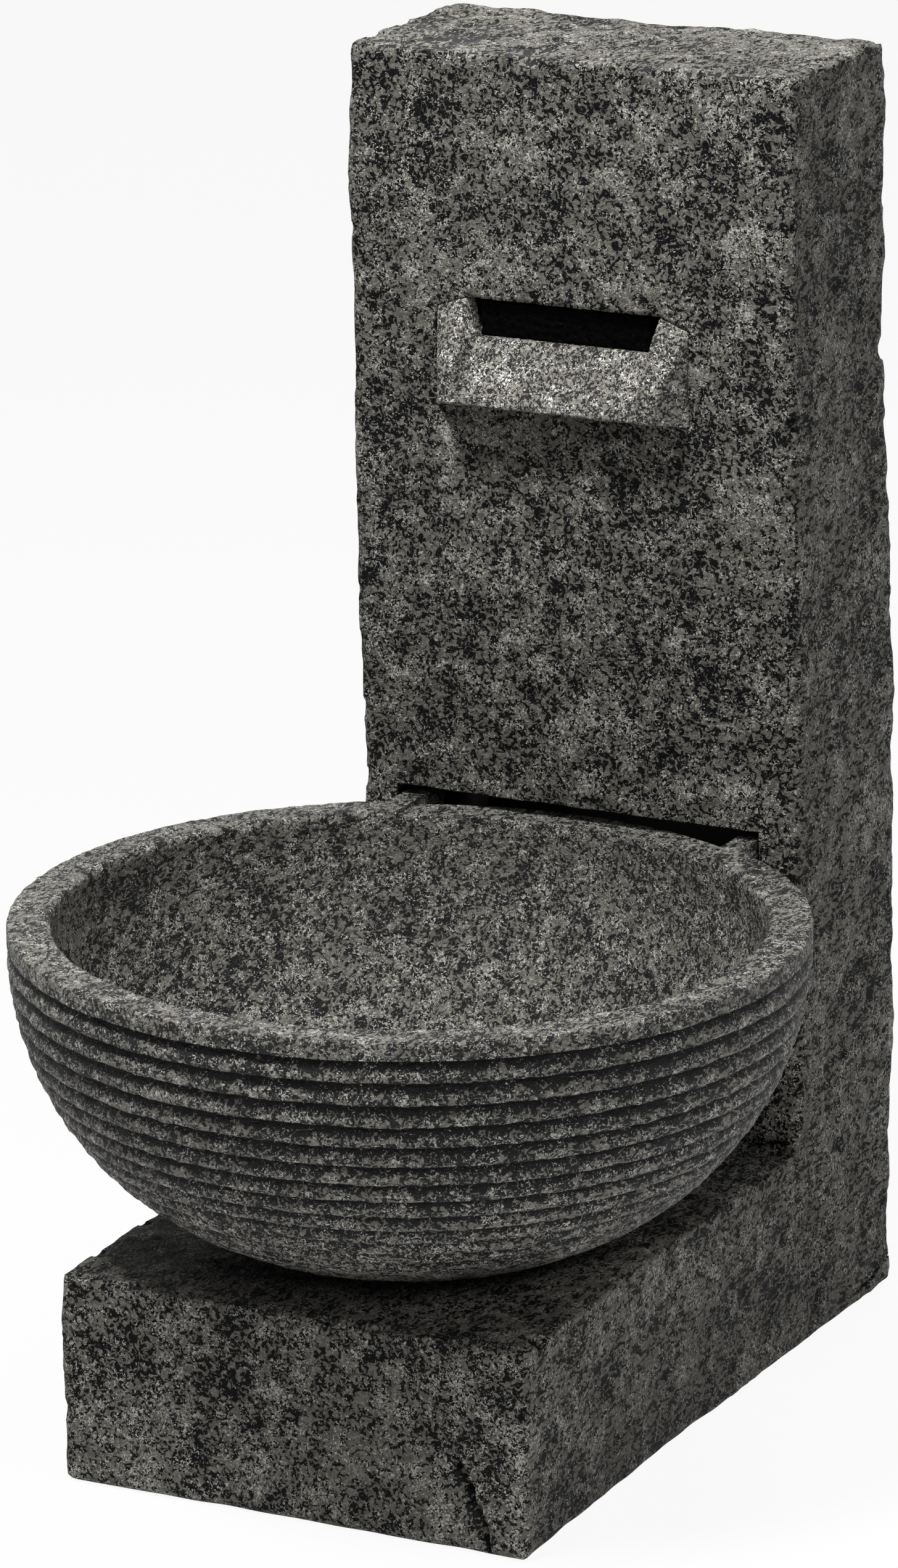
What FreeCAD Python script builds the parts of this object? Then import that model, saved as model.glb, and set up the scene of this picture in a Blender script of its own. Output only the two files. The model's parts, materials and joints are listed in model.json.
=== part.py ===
import FreeCAD, Part
import math
import os
import re
import Sketcher

# Garden wall fountain: a cast pillar on a plinth, with a bowl, a chute and a pump in a hidden tub.
# Millimetres. Origin on the ground under the middle of the whole, front faces -Y, +Z up.

sizes = {
    # Stone body
    "overallHeight": 800.0,
    "pillarTopWidth": 291.0,
    "sideFlare": 5.0,
    "pillarDepth": 142.0,
    "plinthLength": 524.0,
    "plinthHeight": 132.0,
    "stoneWall": 9.0,
    "topWall": 12.0,
    "plinthTopWall": 10.0,
    "edgeRound": 4.0,
    # Bowl
    "bowlRadius": 238.0,
    "bowlHeight": 194.0,
    "bowlBite": 15.0,
    "rimBand": 12.5,
    "footCut": 4.8,
    "bowlWall": 26.0,
    "rimRound": 3.0,
    "lapCount": 13.0,
    "lapPitch": 13.9,
    "lapGroove": 3.2,
    "padCount": 4.0,
    "padRadius": 9.0,
    "padThickness": 2.0,
    "padSeat": 1.7,
    "padCircle": 66.0,
    # Overflow channel of the bowl, and the slot that it enters
    "channelCentre": 5.0,
    "channelHalf": 106.0,
    "channelWall": 14.5,
    "channelReach": 32.0,
    "channelDepth": 22.0,
    "channelFloorWall": 8.0,
    "overflowDrop": 3.0,
    "slotSideGap": 2.5,
    "slotHeadroom": 6.5,
    "slotClearance": 3.0,
    # Chute
    "spoutCentre": -4.6,
    "spoutDrop": 177.0,
    "spoutReach": 24.5,
    "throatFloorHalf": 57.0,
    "throatFlare": 7.6,
    "throatHeight": 24.0,
    "cheekWall": 19.4,
    "cheekTop": 17.0,
    "lipDrop": 33.5,
    "lipHalf": 59.0,
    "lipFlare": 2.5,
    "lipCheekWall": 10.5,
    "lipCheekTop": 17.0,
    "lipCheekEdge": 2.0,
    "lipThickness": 4.0,
    "chuteSole": 5.5,
    "castGap": 0.3,
    # Weir box behind the chute
    "flangeMargin": 20.0,
    "flangeWall": 3.0,
    "flangeBelowChute": 10.0,
    "flangeAboveThroat": 21.0,
    "sealThickness": 2.0,
    "weirShoulder": 11.4,
    "weirBehindHose": 15.5,
    "weirLift": 7.0,
    "weirHeadroom": 11.0,
    "plasticWall": 3.0,
    "shelfDepth": 22.0,
    "foamInset": 4.0,
    "foamHeadroom": 2.0,
    "foamGap": 0.3,
    "weirScrewInset": 6.5,
    "weirScrewRise": 22.0,
    "weirScrewDrop": 16.0,
    "weirInletOffset": 25.4,
    # Hose, its barbs and clamps
    "hoseWall": 3.35,
    "barbRadius": 6.5,
    "barbBore": 5.0,
    "barbLength": 22.0,
    "clampLength": 8.0,
    "clampWall": 1.5,
    "clampSplit": 1.5,
    "clampEar": 7.0,
    "clampFromEnd": 6.0,
    "hoseEndGap": 2.0,
    # Tub
    "tubWall": 3.0,
    "tubFront": 8.5,
    "tubBack": 10.0,
    "tubGround": 4.0,
    "tubHeight": 210.0,
    "tubRound": 14.0,
    "lugReach": 13.5,
    "lugGap": 1.0,
    "lugWall": 4.0,
    "lugDrop": 18.0,
    "lugHalf": 8.0,
    "lugInset": 14.0,
    "bossHeight": 22.0,
    "bossInset": 1.5,
    # Back opening and its panel
    "openingSide": 32.5,
    "openingLow": 242.0,
    "openingHeight": 228.0,
    "rebate": 10.0,
    "panelWall": 4.0,
    "panelRecess": 0.3,
    "panelGap": 0.5,
    "panelRound": 1.0,
    "panelSealWall": 1.2,
    "panelSealMargin": 1.5,
    "panelScrewInset": 4.5,
    "panelBossRadius": 6.5,
    "panelBossDepth": 8.0,
    "gripHalf": 34.0,
    "gripHeight": 18.0,
    "gripDepth": 2.0,
    # Screws and inserts
    "screwRadius": 1.9,
    "screwHead": 3.8,
    "screwHeadLength": 2.0,
    "screwTipGap": 0.5,
    "threadGap": 0.1,
    "insertWall": 0.9,
    "insertLength": 6.0,
    "insertGap": 0.05,
    # Grommet
    "grommetInset": 26.5,
    "grommetHeight": 26.0,
    "grommetGroove": 8.0,
    "grommetFlange": 11.0,
    "grommetFlangeWall": 2.0,
    "grommetBore": 4.2,
    # Pump
    "pumpSideGap": 12.0,
    "hoseBehindWall": 71.5,
    "cupHeight": 8.0,
    "cupRadius": 9.0,
    "cupNeck": 3.5,
    "cupWall": 1.6,
    "cupStem": 2.5,
    "cupSpread": 19.0,
    "cupInset": 11.0,
    "baseWall": 3.0,
    "housingHeight": 58.0,
    "housingRear": 2.5,
    "housingWall": 2.5,
    "postWall": 1.2,
    "postLength": 6.0,
    "postFloor": 1.0,
    "backPlug": 1.5,
    "voluteRadius": 19.0,
    "voluteWall": 2.5,
    "voluteFront": 2.0,
    "intakeRadius": 9.0,
    "spiderHub": 5.0,
    "spiderSpoke": 2.0,
    "earOut": 4.5,
    "earRadius": 3.5,
    "earWall": 4.0,
    "outletRadius": 8.0,
    "outletBore": 5.5,
    "outletTop": 38.0,
    "outletGap": 0.2,
    "adapterWall": 1.8,
    "adapterOverlap": 9.0,
    "magnetGap": 1.0,
    "magnetRear": 1.0,
    "wellWall": 2.0,
    "wellRear": 1.5,
    "shaftRadius": 1.5,
    "shaftInset": 0.5,
    "bushRadius": 3.5,
    "bushLength": 4.0,
    "runningGap": 0.05,
    "impellerGap": 2.0,
    "impellerDisc": 1.5,
    "impellerHub": 4.5,
    "impellerInset": 2.0,
    "bladeWall": 1.5,
    "bladeCount": 6.0,
    "bladeGap": 2.0,
    "magnetRadius": 9.2,
    "ringSection": 0.7,
    "coreSideGap": 2.5,
    "coreLength": 14.0,
    "coreLeg": 7.5,
    "coreHeadroom": 1.5,
    "coreBottom": 11.0,
    "coreMouth": 4.0,
    "crossbar": 7.0,
    "coilSideGap": 1.5,
    "coilWall": 4.0,
    "partGap": 0.3,
    "coverLength": 17.5,
    "coverHeight": 42.0,
    "coverWall": 2.0,
    "slotCount": 7.0,
    "grilleSlot": 3.0,
    "grillePitch": 5.4,
    "grilleHeight": 24.0,
    "shutterWall": 1.5,
    "shutterHalf": 20.0,
    "tabHalf": 3.0,
    "tabInset": 5.0,
    "railWall": 1.5,
    "railHeight": 3.0,
    "glandRadius": 5.0,
    "glandBore": 2.6,
    "glandHeight": 12.0,
    "glandInset": 14.0,
    "glandTaper": 1.2,
    "glandNeckStep": 1.0,
}

# Sizes and places that follow from those above
places = {
    # How far a cutting shape runs past the face that it cuts, and a joined one into its neighbour
    "past": "1",
    "plinthWidth": "pillarTopWidth + sideFlare * 2",
    "bowlAxisToBack": "pillarDepth + bowlRadius - bowlBite",
    "backPlane": "(bowlRadius + bowlAxisToBack) / 2",
    "bowlAxis": "backPlane - bowlAxisToBack",
    "wallFace": "backPlane - pillarDepth",
    "wallInside": "wallFace + stoneWall",
    "backInside": "backPlane - stoneWall",
    "plinthFront": "backPlane - plinthLength",
    "insideHalf": "pillarTopWidth / 2 - stoneWall",
    "rimHeight": "plinthHeight + bowlHeight",
    "arcHeight": "rimHeight - rimBand",
    "footHeight": "plinthHeight + padThickness - padSeat",
    "bowlArc": "arcHeight - footHeight + footCut",
    "arcCentre": "bowlRadius - bowlArc",
    "footRadius": "arcCentre + sqrt(bowlArc ^ 2 - (arcHeight - footHeight) ^ 2)",
    "innerArc": "bowlArc - bowlWall",
    "innerRadius": "arcCentre + innerArc",
    "channelStart": "bowlAxis + bowlRadius / 2",
    "channelEnd": "wallFace + channelReach",
    "channelWide": "channelHalf + channelWall",
    "channelFloor": "rimHeight - channelDepth",
    "slotHalf": "channelWide + slotSideGap",
    "slotTop": "rimHeight + slotHeadroom",
    "slotLow": "arcHeight - sqrt(bowlArc ^ 2 - (bowlArc - bowlBite - slotClearance) ^ 2)",
    "throatFloor": "overallHeight - spoutDrop",
    "throatTop": "throatFloor + throatHeight",
    "throatTopHalf": "throatFloorHalf + throatFlare",
    "cheekHalf": "throatTopHalf + cheekWall",
    "cheekHeight": "throatFloor + cheekTop",
    "spoutFront": "wallFace - spoutReach",
    "lipFloor": "throatFloor - lipDrop",
    "lipTopHalf": "lipHalf + lipFlare",
    "lipCheekHalf": "lipTopHalf + lipCheekWall",
    "lipCheekHeight": "lipFloor + lipCheekTop",
    "chuteLow": "lipFloor - lipThickness - chuteSole",
    "hoseY": "wallFace + hoseBehindWall",
    "weirHalf": "throatTopHalf + weirShoulder",
    "flangeHalf": "weirHalf + plasticWall + flangeMargin",
    "flangeLow": "chuteLow - flangeBelowChute",
    "flangeHigh": "throatTop + flangeAboveThroat",
    "flangeBack": "wallInside + castGap + flangeWall",
    "weirFront": "flangeBack + sealThickness",
    "weirFlangeBack": "weirFront + plasticWall",
    "shelfEnd": "weirFront + shelfDepth",
    "weirBack": "hoseY + weirBehindHose",
    "weirLow": "chuteLow + weirLift",
    "weirHigh": "throatTop + weirHeadroom",
    "weirBottom": "weirLow - plasticWall",
    "weirInletX": "spoutCentre - weirInletOffset",
    "inletLow": "weirBottom - barbLength",
    "hoseInner": "barbRadius + runningGap",
    "hoseOuter": "hoseInner + hoseWall",
    "tubHalf": "insideHalf - lugReach - lugGap",
    "tubFloor": "tubGround + tubWall",
    "tubNear": "wallInside + tubFront",
    "tubFar": "backInside - tubBack",
    "tubTop": "tubGround + tubHeight",
    "lugHeight": "tubTop - lugDrop",
    "lugTop": "lugHeight + lugWall",
    "openingHalf": "insideHalf - openingSide",
    "openingHigh": "openingLow + openingHeight",
    "openingMiddle": "openingLow + openingHeight / 2",
    "ledge": "backPlane - panelRecess - panelWall - panelSealWall",
    "panelInside": "ledge + panelSealWall",
    "panelOutside": "panelInside + panelWall",
    "grommetX": "insideHalf - grommetInset",
    "insertBore": "screwRadius + threadGap",
    "insertRadius": "insertBore + insertWall",
    "insertHole": "insertRadius + insertGap",
    "screwHole": "screwRadius + partGap",
    "baseLow": "tubFloor + cupHeight",
    "baseTop": "baseLow + baseWall",
    "pumpAxis": "baseTop + voluteRadius",
    "voluteHalf": "outletRadius + adapterWall + outletGap",
    "voluteNear": "hoseY - voluteHalf",
    "voluteBack": "hoseY + voluteHalf",
    "earSpread": "voluteRadius + earOut",
    "pumpHalf": "earSpread + earRadius",
    "pumpX": "-(tubHalf - tubWall - pumpSideGap - pumpHalf)",
    "housingFar": "tubFar - tubWall - housingRear",
    "housingTop": "baseLow + housingHeight",
    "caseFar": "housingFar - plasticWall",
    "wellEnd": "caseFar - backPlug - wellRear - wellWall",
    "wellBore": "magnetRadius + magnetGap",
    "ringRadius": "voluteRadius - voluteWall / 2",
    "pipeTop": "pumpAxis + outletTop",
    "barbLow": "pipeTop + adapterWall",
    "barbTop": "barbLow + barbLength",
    "discBack": "voluteBack - impellerInset",
    "discFront": "discBack - impellerDisc",
    "bladeFront": "voluteNear + bushLength + bladeGap",
    "impellerRadius": "voluteRadius - voluteWall - impellerGap",
    "magnetEnd": "wellEnd - bushLength - magnetRear",
    "coreNear": "voluteBack + housingWall + coilWall + partGap",
    "coreFar": "coreNear + coreLength",
    "coreHalf": "pumpHalf - housingWall - coreSideGap",
    "coreTop": "housingTop - housingWall - coilWall - coreHeadroom",
    "crossbarLow": "coreTop - crossbar",
    "coilHalf": "coreHalf - coreLeg - coilSideGap",
    "coverNear": "voluteNear - partGap - coverLength",
    "coverLow": "baseTop + partGap",
    "grilleLow": "coverLow + (coverHeight - grilleHeight) / 2",
    "grilleHigh": "grilleLow + grilleHeight",
    "shutterBack": "coverNear - partGap",
    "shutterFront": "shutterBack - shutterWall",
    "railFront": "shutterFront - partGap - railWall",
}

# The hose's turns between its two barbs, each as a share of the rise and a share of the way across
hoseTurnShares = [(0.142, 0.0), (0.363, -0.68), (0.54, -0.12), (0.743, 0.6), (0.891, 1.0)]

# How near two measures lie that count as the same
tolerance = 0.01

doc = FreeCAD.newDocument("garden_wall_fountain")
sheet = doc.addObject("Spreadsheet::Sheet", "Sizes")
for row, (alias, number) in enumerate(sizes.items(), start=1):
    sheet.set(f"A{row}", str(number))
    sheet.setAlias(f"A{row}", alias)
doc.recompute()


def spelled(text):
    # Names of sizes and places become references to the sheet.
    def swap(match):
        word = match.group()
        if word in places:
            return "(" + spelled(places[word]) + ")"
        return "Sizes." + word if word in sizes else word
    return re.sub(r"[A-Za-z]\w*", swap, str(text))


def value(text):
    return float(sheet.evalExpression(spelled(text)))


def bind(item, **expressions):
    for name, text in expressions.items():
        item.setExpression(name, spelled(text))
    return item


def placeAt(item, x="0", y="0", z="0"):
    for axis, text in (("x", x), ("y", y), ("z", z)):
        item.setExpression("Placement.Base." + axis, spelled(text))
    return item


# Part shapes

turns = {
    "x": FreeCAD.Rotation(FreeCAD.Vector(0, 1, 0), 90),
    "y": FreeCAD.Rotation(FreeCAD.Vector(1, 0, 0), -90),
    "z": FreeCAD.Rotation(),
}


def box(name, x, y, z):
    item = doc.addObject("Part::Box", name)
    bind(item, Length=f"({x[1]}) - ({x[0]})", Width=f"({y[1]}) - ({y[0]})", Height=f"({z[1]}) - ({z[0]})")
    return placeAt(item, x[0], y[0], z[0])


def along(axis, across, start):
    # The corner of a round shape whose axis lies along X, Y or Z.
    first, second = across
    return {"x": (start, first, second), "y": (first, start, second), "z": (first, second, start)}[axis]


def rod(name, axis, across, span, radius):
    item = doc.addObject("Part::Cylinder", name)
    bind(item, Radius=radius, Height=f"({span[1]}) - ({span[0]})")
    item.Placement = FreeCAD.Placement(FreeCAD.Vector(), turns[axis])
    return placeAt(item, *along(axis, across, span[0]))


def cone(name, axis, across, span, radii):
    item = doc.addObject("Part::Cone", name)
    bind(item, Radius1=radii[0], Radius2=radii[1], Height=f"({span[1]}) - ({span[0]})")
    item.Placement = FreeCAD.Placement(FreeCAD.Vector(), turns[axis])
    return placeAt(item, *along(axis, across, span[0]))


def ring(name, axis, across, middle, radius, section):
    item = doc.addObject("Part::Torus", name)
    bind(item, Radius1=radius, Radius2=section)
    item.Placement = FreeCAD.Placement(FreeCAD.Vector(), turns[axis])
    return placeAt(item, *along(axis, across, middle))


def fuse(name, *shapes):
    item = doc.addObject("Part::MultiFuse", name)
    item.Shapes = list(shapes)
    item.Refine = True
    return item


def cut(name, base, *tools):
    item = doc.addObject("Part::Cut", name)
    item.Base = base
    item.Tool = tools[0] if len(tools) == 1 else fuse(name + "_tools", *tools)
    item.Refine = True
    return item


def group(name, *shapes):
    item = doc.addObject("Part::Compound", name)
    item.Links = list(shapes)
    return item


def tube(name, axis, across, span, outer, inner):
    return cut(name, rod(name + "_outer", axis, across, span, outer),
               rod(name + "_bore", axis, across, span, inner))


# PartDesign shapes

def newBody(name):
    body = doc.addObject("PartDesign::Body", name)
    body.Label = name
    return body


def sketchOn(body, name, plane, height):
    sketch = body.newObject("Sketcher::SketchObject", name)
    support = next(item for item in body.Origin.OriginFeatures if item.Role == plane + "_Plane")
    sketch.AttachmentSupport = (support, [""])
    sketch.MapMode = "FlatFace"
    # The XZ plane looks to the front, so its height is turned round.
    bind(sketch, **{"AttachmentOffset.Base.z": f"-({height})" if plane == "XZ" else height})
    return sketch


def pin(sketch, line, end, x, y):
    # One end of a line, or the centre of a circle, is held at a place.
    for kind, text in (("DistanceX", x), ("DistanceY", y)):
        index = sketch.addConstraint(Sketcher.Constraint(kind, -1, 1, line, end, value(text)))
        bind(sketch, **{f"Constraints[{index}]": text})


def joinSides(sketch, first, count):
    # Each side of an outline ends where the next one starts.
    for side in range(count):
        following = first + (side + 1) % count
        sketch.addConstraint(Sketcher.Constraint("Coincident", first + side, 2, following, 1))


def loop(sketch, corners):
    first = sketch.GeometryCount
    flat = [FreeCAD.Vector(value(x), value(y), 0) for x, y in corners]
    for start, end in zip(flat, flat[1:] + flat[:1]):
        sketch.addGeometry(Part.LineSegment(start, end), False)
    joinSides(sketch, first, len(corners))
    for side, (x, y) in enumerate(corners):
        pin(sketch, first + side, 1, x, y)


def circle(sketch, x, y, radius):
    centre = FreeCAD.Vector(value(x), value(y), 0)
    line = sketch.addGeometry(Part.Circle(centre, FreeCAD.Vector(0, 0, 1), value(radius)), False)
    pin(sketch, line, 3, x, y)
    index = sketch.addConstraint(Sketcher.Constraint("Radius", line, value(radius)))
    bind(sketch, **{f"Constraints[{index}]": radius})


def prism(body, name, plane, span, outlines, pocket=False):
    # The outlines are pushed from one height to the other, as stone or as a hole.
    low, high = span
    sketch = sketchOn(body, name + "_outline", plane, high if plane == "XZ" else low)
    for outline in outlines:
        if len(outline) == 3 and isinstance(outline[0], str):
            circle(sketch, *outline)
        else:
            loop(sketch, outline)
    item = body.newObject("PartDesign::Pocket" if pocket else "PartDesign::Pad", name)
    item.Profile = sketch
    item.Reversed = pocket
    return bind(item, Length=f"({high}) - ({low})")


def rectangle(x, y):
    return [(x[0], y[0]), (x[1], y[0]), (x[1], y[1]), (x[0], y[1])]


def rounded(body, name, base, radius, chosen):
    doc.recompute()
    edges = [f"Edge{number}" for number, edge in enumerate(base.Shape.Edges, start=1) if chosen(edge)]
    item = body.newObject("PartDesign::Fillet", name)
    item.Base = (base, edges)
    return bind(item, Radius=radius)


def near(first, second):
    return abs(first - second) < tolerance


def upright(edge):
    start, end = (vertex.Point for vertex in (edge.Vertexes[0], edge.Vertexes[-1]))
    return near(abs(end.z - start.z), edge.Length)


# Stone body: pillar and plinth cast as one shell, open underneath

def stoneEdge(edge):
    # The outer edges, without the ground edges and the inner corner where the pillar meets the plinth.
    centre = edge.CenterOfMass
    onGround = near(centre.z, 0)
    innerCorner = near(centre.z, value("plinthHeight")) and near(centre.y, value("wallFace"))
    return not onGround and not innerCorner


def bothSides(half):
    # The right half of an outline about the chute's middle, and its mirror image.
    right = [(f"spoutCentre + ({x})", z) for x, z in half]
    left = [(f"spoutCentre - ({x})", z) for x, z in reversed(half)]
    return right + left


def spoutSection(grow):
    # The chute where it passes through the wall.
    wide = f"cheekHalf + {grow}"
    return bothSides([(wide, f"chuteLow - {grow}"), (wide, f"cheekHeight + {grow}"),
                      ("throatTopHalf", f"throatTop - castGap + {grow}")])


def stoneBody():
    body = newBody("stone_body")
    wedge = [("-plinthWidth / 2", "0"), ("plinthWidth / 2", "0"),
             ("pillarTopWidth / 2", "overallHeight"), ("-pillarTopWidth / 2", "overallHeight")]
    prism(body, "block", "XZ", ("plinthFront", "backPlane"), [wedge])
    overPlinth = rectangle(("-plinthWidth", "plinthWidth"), ("plinthFront - past", "wallFace"))
    step = prism(body, "step", "XY", ("plinthHeight", "overallHeight + past"), [overPlinth], pocket=True)
    rounded(body, "worn_edges", step, "edgeRound", stoneEdge)
    pillarInside = rectangle(("-(insideHalf)", "insideHalf"), ("wallInside", "backInside"))
    prism(body, "pillar_hollow", "XY", ("-past", "overallHeight - topWall"), [pillarInside], pocket=True)
    plinthInside = rectangle(("-(insideHalf)", "insideHalf"), ("plinthFront + stoneWall", "backInside"))
    prism(body, "plinth_hollow", "XY", ("-past", "plinthHeight - plinthTopWall"), [plinthInside], pocket=True)
    bosses = []
    for side in ("", "-"):
        for middle in ("tubNear + lugInset", "tubFar - lugInset"):
            across = sorted((f"{side}(tubHalf + bossInset)", f"{side}(insideHalf + past)"), key=value)
            bosses.append(rectangle(across, (f"{middle} - lugHalf", f"{middle} + lugHalf")))
    prism(body, "tub_bosses", "XY", ("lugTop", "lugTop + bossHeight"), bosses)
    panelBosses = [(x, z, "panelBossRadius") for x, z in panelScrews()]
    prism(body, "panel_bosses", "XZ", ("backInside - panelBossDepth", "backInside + past"), panelBosses)
    slot = rectangle(("channelCentre - slotHalf", "channelCentre + slotHalf"), ("slotLow", "slotTop"))
    prism(body, "slot", "XZ", ("wallFace - past", "wallInside + past"), [slot], pocket=True)
    window = spoutSection("castGap")
    prism(body, "spout_window", "XZ", ("wallFace - past", "wallInside + past"), [window], pocket=True)
    rebateHole = rectangle(("-(openingHalf + rebate)", "openingHalf + rebate"),
                           ("openingLow - rebate", "openingHigh + rebate"))
    prism(body, "panel_rebate", "XZ", ("ledge", "backPlane + past"), [rebateHole], pocket=True)
    opening = rectangle(("-openingHalf", "openingHalf"), ("openingLow", "openingHigh"))
    prism(body, "service_opening", "XZ", ("backInside - panelBossDepth - past", "ledge + past"), [opening],
          pocket=True)
    grommetHole = [("grommetX", "grommetHeight", "grommetGroove")]
    prism(body, "grommet_hole", "XZ", ("backInside - past", "backPlane + past"), grommetHole, pocket=True)
    weirHoles = [(x, z, "insertHole") for x, z in weirScrews()]
    prism(body, "weir_insert_holes", "XZ", ("wallInside - insertLength", "wallInside + past"), weirHoles,
          pocket=True)
    panelHoles = [(x, z, "insertHole") for x, z in panelScrews()]
    prism(body, "panel_insert_holes", "XZ", ("ledge - insertLength", "ledge + past"), panelHoles, pocket=True)
    tubHoles = [(x, y, "insertHole") for x, y in tubScrews()]
    prism(body, "tub_insert_holes", "XY", ("lugTop - past", "lugTop + insertLength"), tubHoles, pocket=True)
    return body


# Where the screws go

def weirScrews():
    for side in ("-", "+"):
        for height in ("flangeLow + weirScrewRise", "flangeHigh - weirScrewDrop"):
            yield f"spoutCentre {side} (flangeHalf - weirScrewInset)", height


def panelScrews():
    for side in ("-", ""):
        for height in ("openingLow - panelScrewInset", "openingHigh + panelScrewInset"):
            yield f"{side}(openingHalf + panelScrewInset)", height


def tubScrews():
    for side in ("-", ""):
        for middle in ("tubNear + lugInset", "tubFar - lugInset"):
            yield f"{side}(tubHalf + lugReach / 2)", middle


def screwSet(name, axis, spots, seat, tip, outward):
    # A screw has a round head on its seat and a shank to its tip.
    screws = []
    for number, across in enumerate(spots, start=1):
        label = f"{name}_{number}"
        headEnd = f"({seat}) {outward} screwHeadLength"
        head = rod(label + "_head", axis, across, sorted((seat, headEnd), key=value), "screwHead")
        shank = rod(label + "_shank", axis, across, sorted((seat, tip), key=value), "screwRadius")
        screws.append(fuse(label, head, shank))
    return group(name, *screws)


def insertSet(name, axis, spots, span):
    return group(name, *[tube(f"{name}_{number}", axis, across, span, "insertRadius", "insertBore")
                         for number, across in enumerate(spots, start=1)])


# Bowl with its laps and overflow channel

def arcProfile(sketch, points, arcEnds, radius):
    # A closed outline whose side between two of its points is an arc about the bowl's arc centre.
    first = sketch.GeometryCount
    flat = [FreeCAD.Vector(value(x), value(y), 0) for x, y in points]
    centre = FreeCAD.Vector(value("arcCentre"), value("arcHeight"), 0)
    count = len(points)
    for side in range(count):
        start, end = flat[side], flat[(side + 1) % count]
        if side == arcEnds:
            angles = [math.atan2(p.y - centre.y, p.x - centre.x) for p in (start, end)]
            whole = Part.Circle(centre, FreeCAD.Vector(0, 0, 1), value(radius))
            sketch.addGeometry(Part.ArcOfCircle(whole, *angles), False)
        else:
            sketch.addGeometry(Part.LineSegment(start, end), False)
    joinSides(sketch, first, count)
    for side in range(count):
        if side == arcEnds:
            pin(sketch, first + side, 3, "arcCentre", "arcHeight")
            index = sketch.addConstraint(Sketcher.Constraint("Radius", first + side, value(radius)))
            bind(sketch, **{f"Constraints[{index}]": radius})
            # The lower end is held across and the upper end in height, which an arc allows at any angle.
            for end, kind, text in ((1, "DistanceX", points[side][0]), (2, "DistanceY", points[side + 1][1])):
                index = sketch.addConstraint(Sketcher.Constraint(kind, -1, 1, first + side, end, value(text)))
                bind(sketch, **{f"Constraints[{index}]": text})
        elif side != arcEnds + 1:
            pin(sketch, first + side, 1, *points[side])


def turned(body, name, sketch, kind):
    item = body.newObject("PartDesign::" + kind, name)
    item.Profile = sketch
    item.ReferenceAxis = (sketch, ["V_Axis"])
    item.Angle = 360
    return item


def bowlSketch(body, name):
    # Sketches of the bowl stand on its own axis.
    return sketchOn(body, name, "XZ", "bowlAxis")


def innerRim(edge):
    # The edge round the water, at the top of the rim.
    atTop = near(edge.CenterOfMass.z, value("rimHeight"))
    return atTop and edge.Curve.TypeId == "Part::GeomCircle" and near(edge.Curve.Radius, value("innerRadius"))


def bowlBody():
    body = newBody("bowl")
    outside = bowlSketch(body, "bowl_outline")
    arcProfile(outside, [("0", "footHeight"), ("footRadius", "footHeight"), ("bowlRadius", "arcHeight"),
                         ("bowlRadius", "rimHeight"), ("0", "rimHeight")], 1, "bowlArc")
    turned(body, "bowl_block", outside, "Revolution")
    laps = bowlSketch(body, "lap_outline")
    for lap in range(int(value("lapCount"))):
        angle = f"{lap} * lapPitch / bowlArc * 180 / pi"
        circle(laps, f"arcCentre + bowlArc * cos({angle})", f"arcHeight - bowlArc * sin({angle})",
               "lapGroove")
    turned(body, "lap_grooves", laps, "Groove")
    half = [("channelWide", "channelFloor - channelFloorWall"), ("channelWide", "rimHeight"),
            ("channelHalf", "rimHeight"), ("channelHalf", "channelFloor")]
    section = ([(f"channelCentre + {x}", z) for x, z in half]
               + [(f"channelCentre - {x}", z) for x, z in reversed(half)])
    prism(body, "channel", "XZ", ("channelStart", "channelEnd"), [section])
    inside = bowlSketch(body, "inside_outline")
    arcProfile(inside, [("0", "arcHeight - innerArc"), ("arcCentre", "arcHeight - innerArc"),
                        ("innerRadius", "arcHeight"), ("innerRadius", "rimHeight + past"),
                        ("0", "rimHeight + past")], 1, "innerArc")
    hollow = turned(body, "bowl_hollow", inside, "Groove")
    rounded(body, "rim_edge", hollow, "rimRound", innerRim)
    notch = rectangle(("channelCentre - channelHalf", "channelCentre + channelHalf"),
                      ("rimHeight - overflowDrop", "rimHeight + past"))
    prism(body, "overflow_notch", "XZ", ("channelStart", "channelEnd"), [notch], pocket=True)
    seats = [(x, y, "padRadius + insertGap") for x, y in padSpots()]
    prism(body, "pad_seats", "XY", ("footHeight - past", "footHeight + padSeat"), seats, pocket=True)
    return body


def padSpots():
    for number in range(int(value("padCount"))):
        angle = f"({number} + 0.5) * 360 / padCount"
        yield f"padCircle * cos({angle})", f"bowlAxis + padCircle * sin({angle})"


def bowlPads():
    return group("bowl_pads", *[
        rod(f"bowl_pad_{number}", "z", spot, ("plinthHeight", "plinthHeight + padThickness"), "padRadius")
        for number, spot in enumerate(padSpots(), start=1)])


# Chute: loft from the wall to the lip, its trough, and the flange behind the wall

def lofted(body, name, kind, sections):
    sketches = []
    for height, corners in sections:
        sketch = sketchOn(body, f"{name}_{len(sketches) + 1}", "XZ", height)
        loop(sketch, corners)
        sketches.append(sketch)
    item = body.newObject("PartDesign::" + kind, name)
    item.Profile = (sketches[0], [""])
    item.Sections = [(sketch, [""]) for sketch in sketches[1:]]
    item.Ruled = True
    return item


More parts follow.
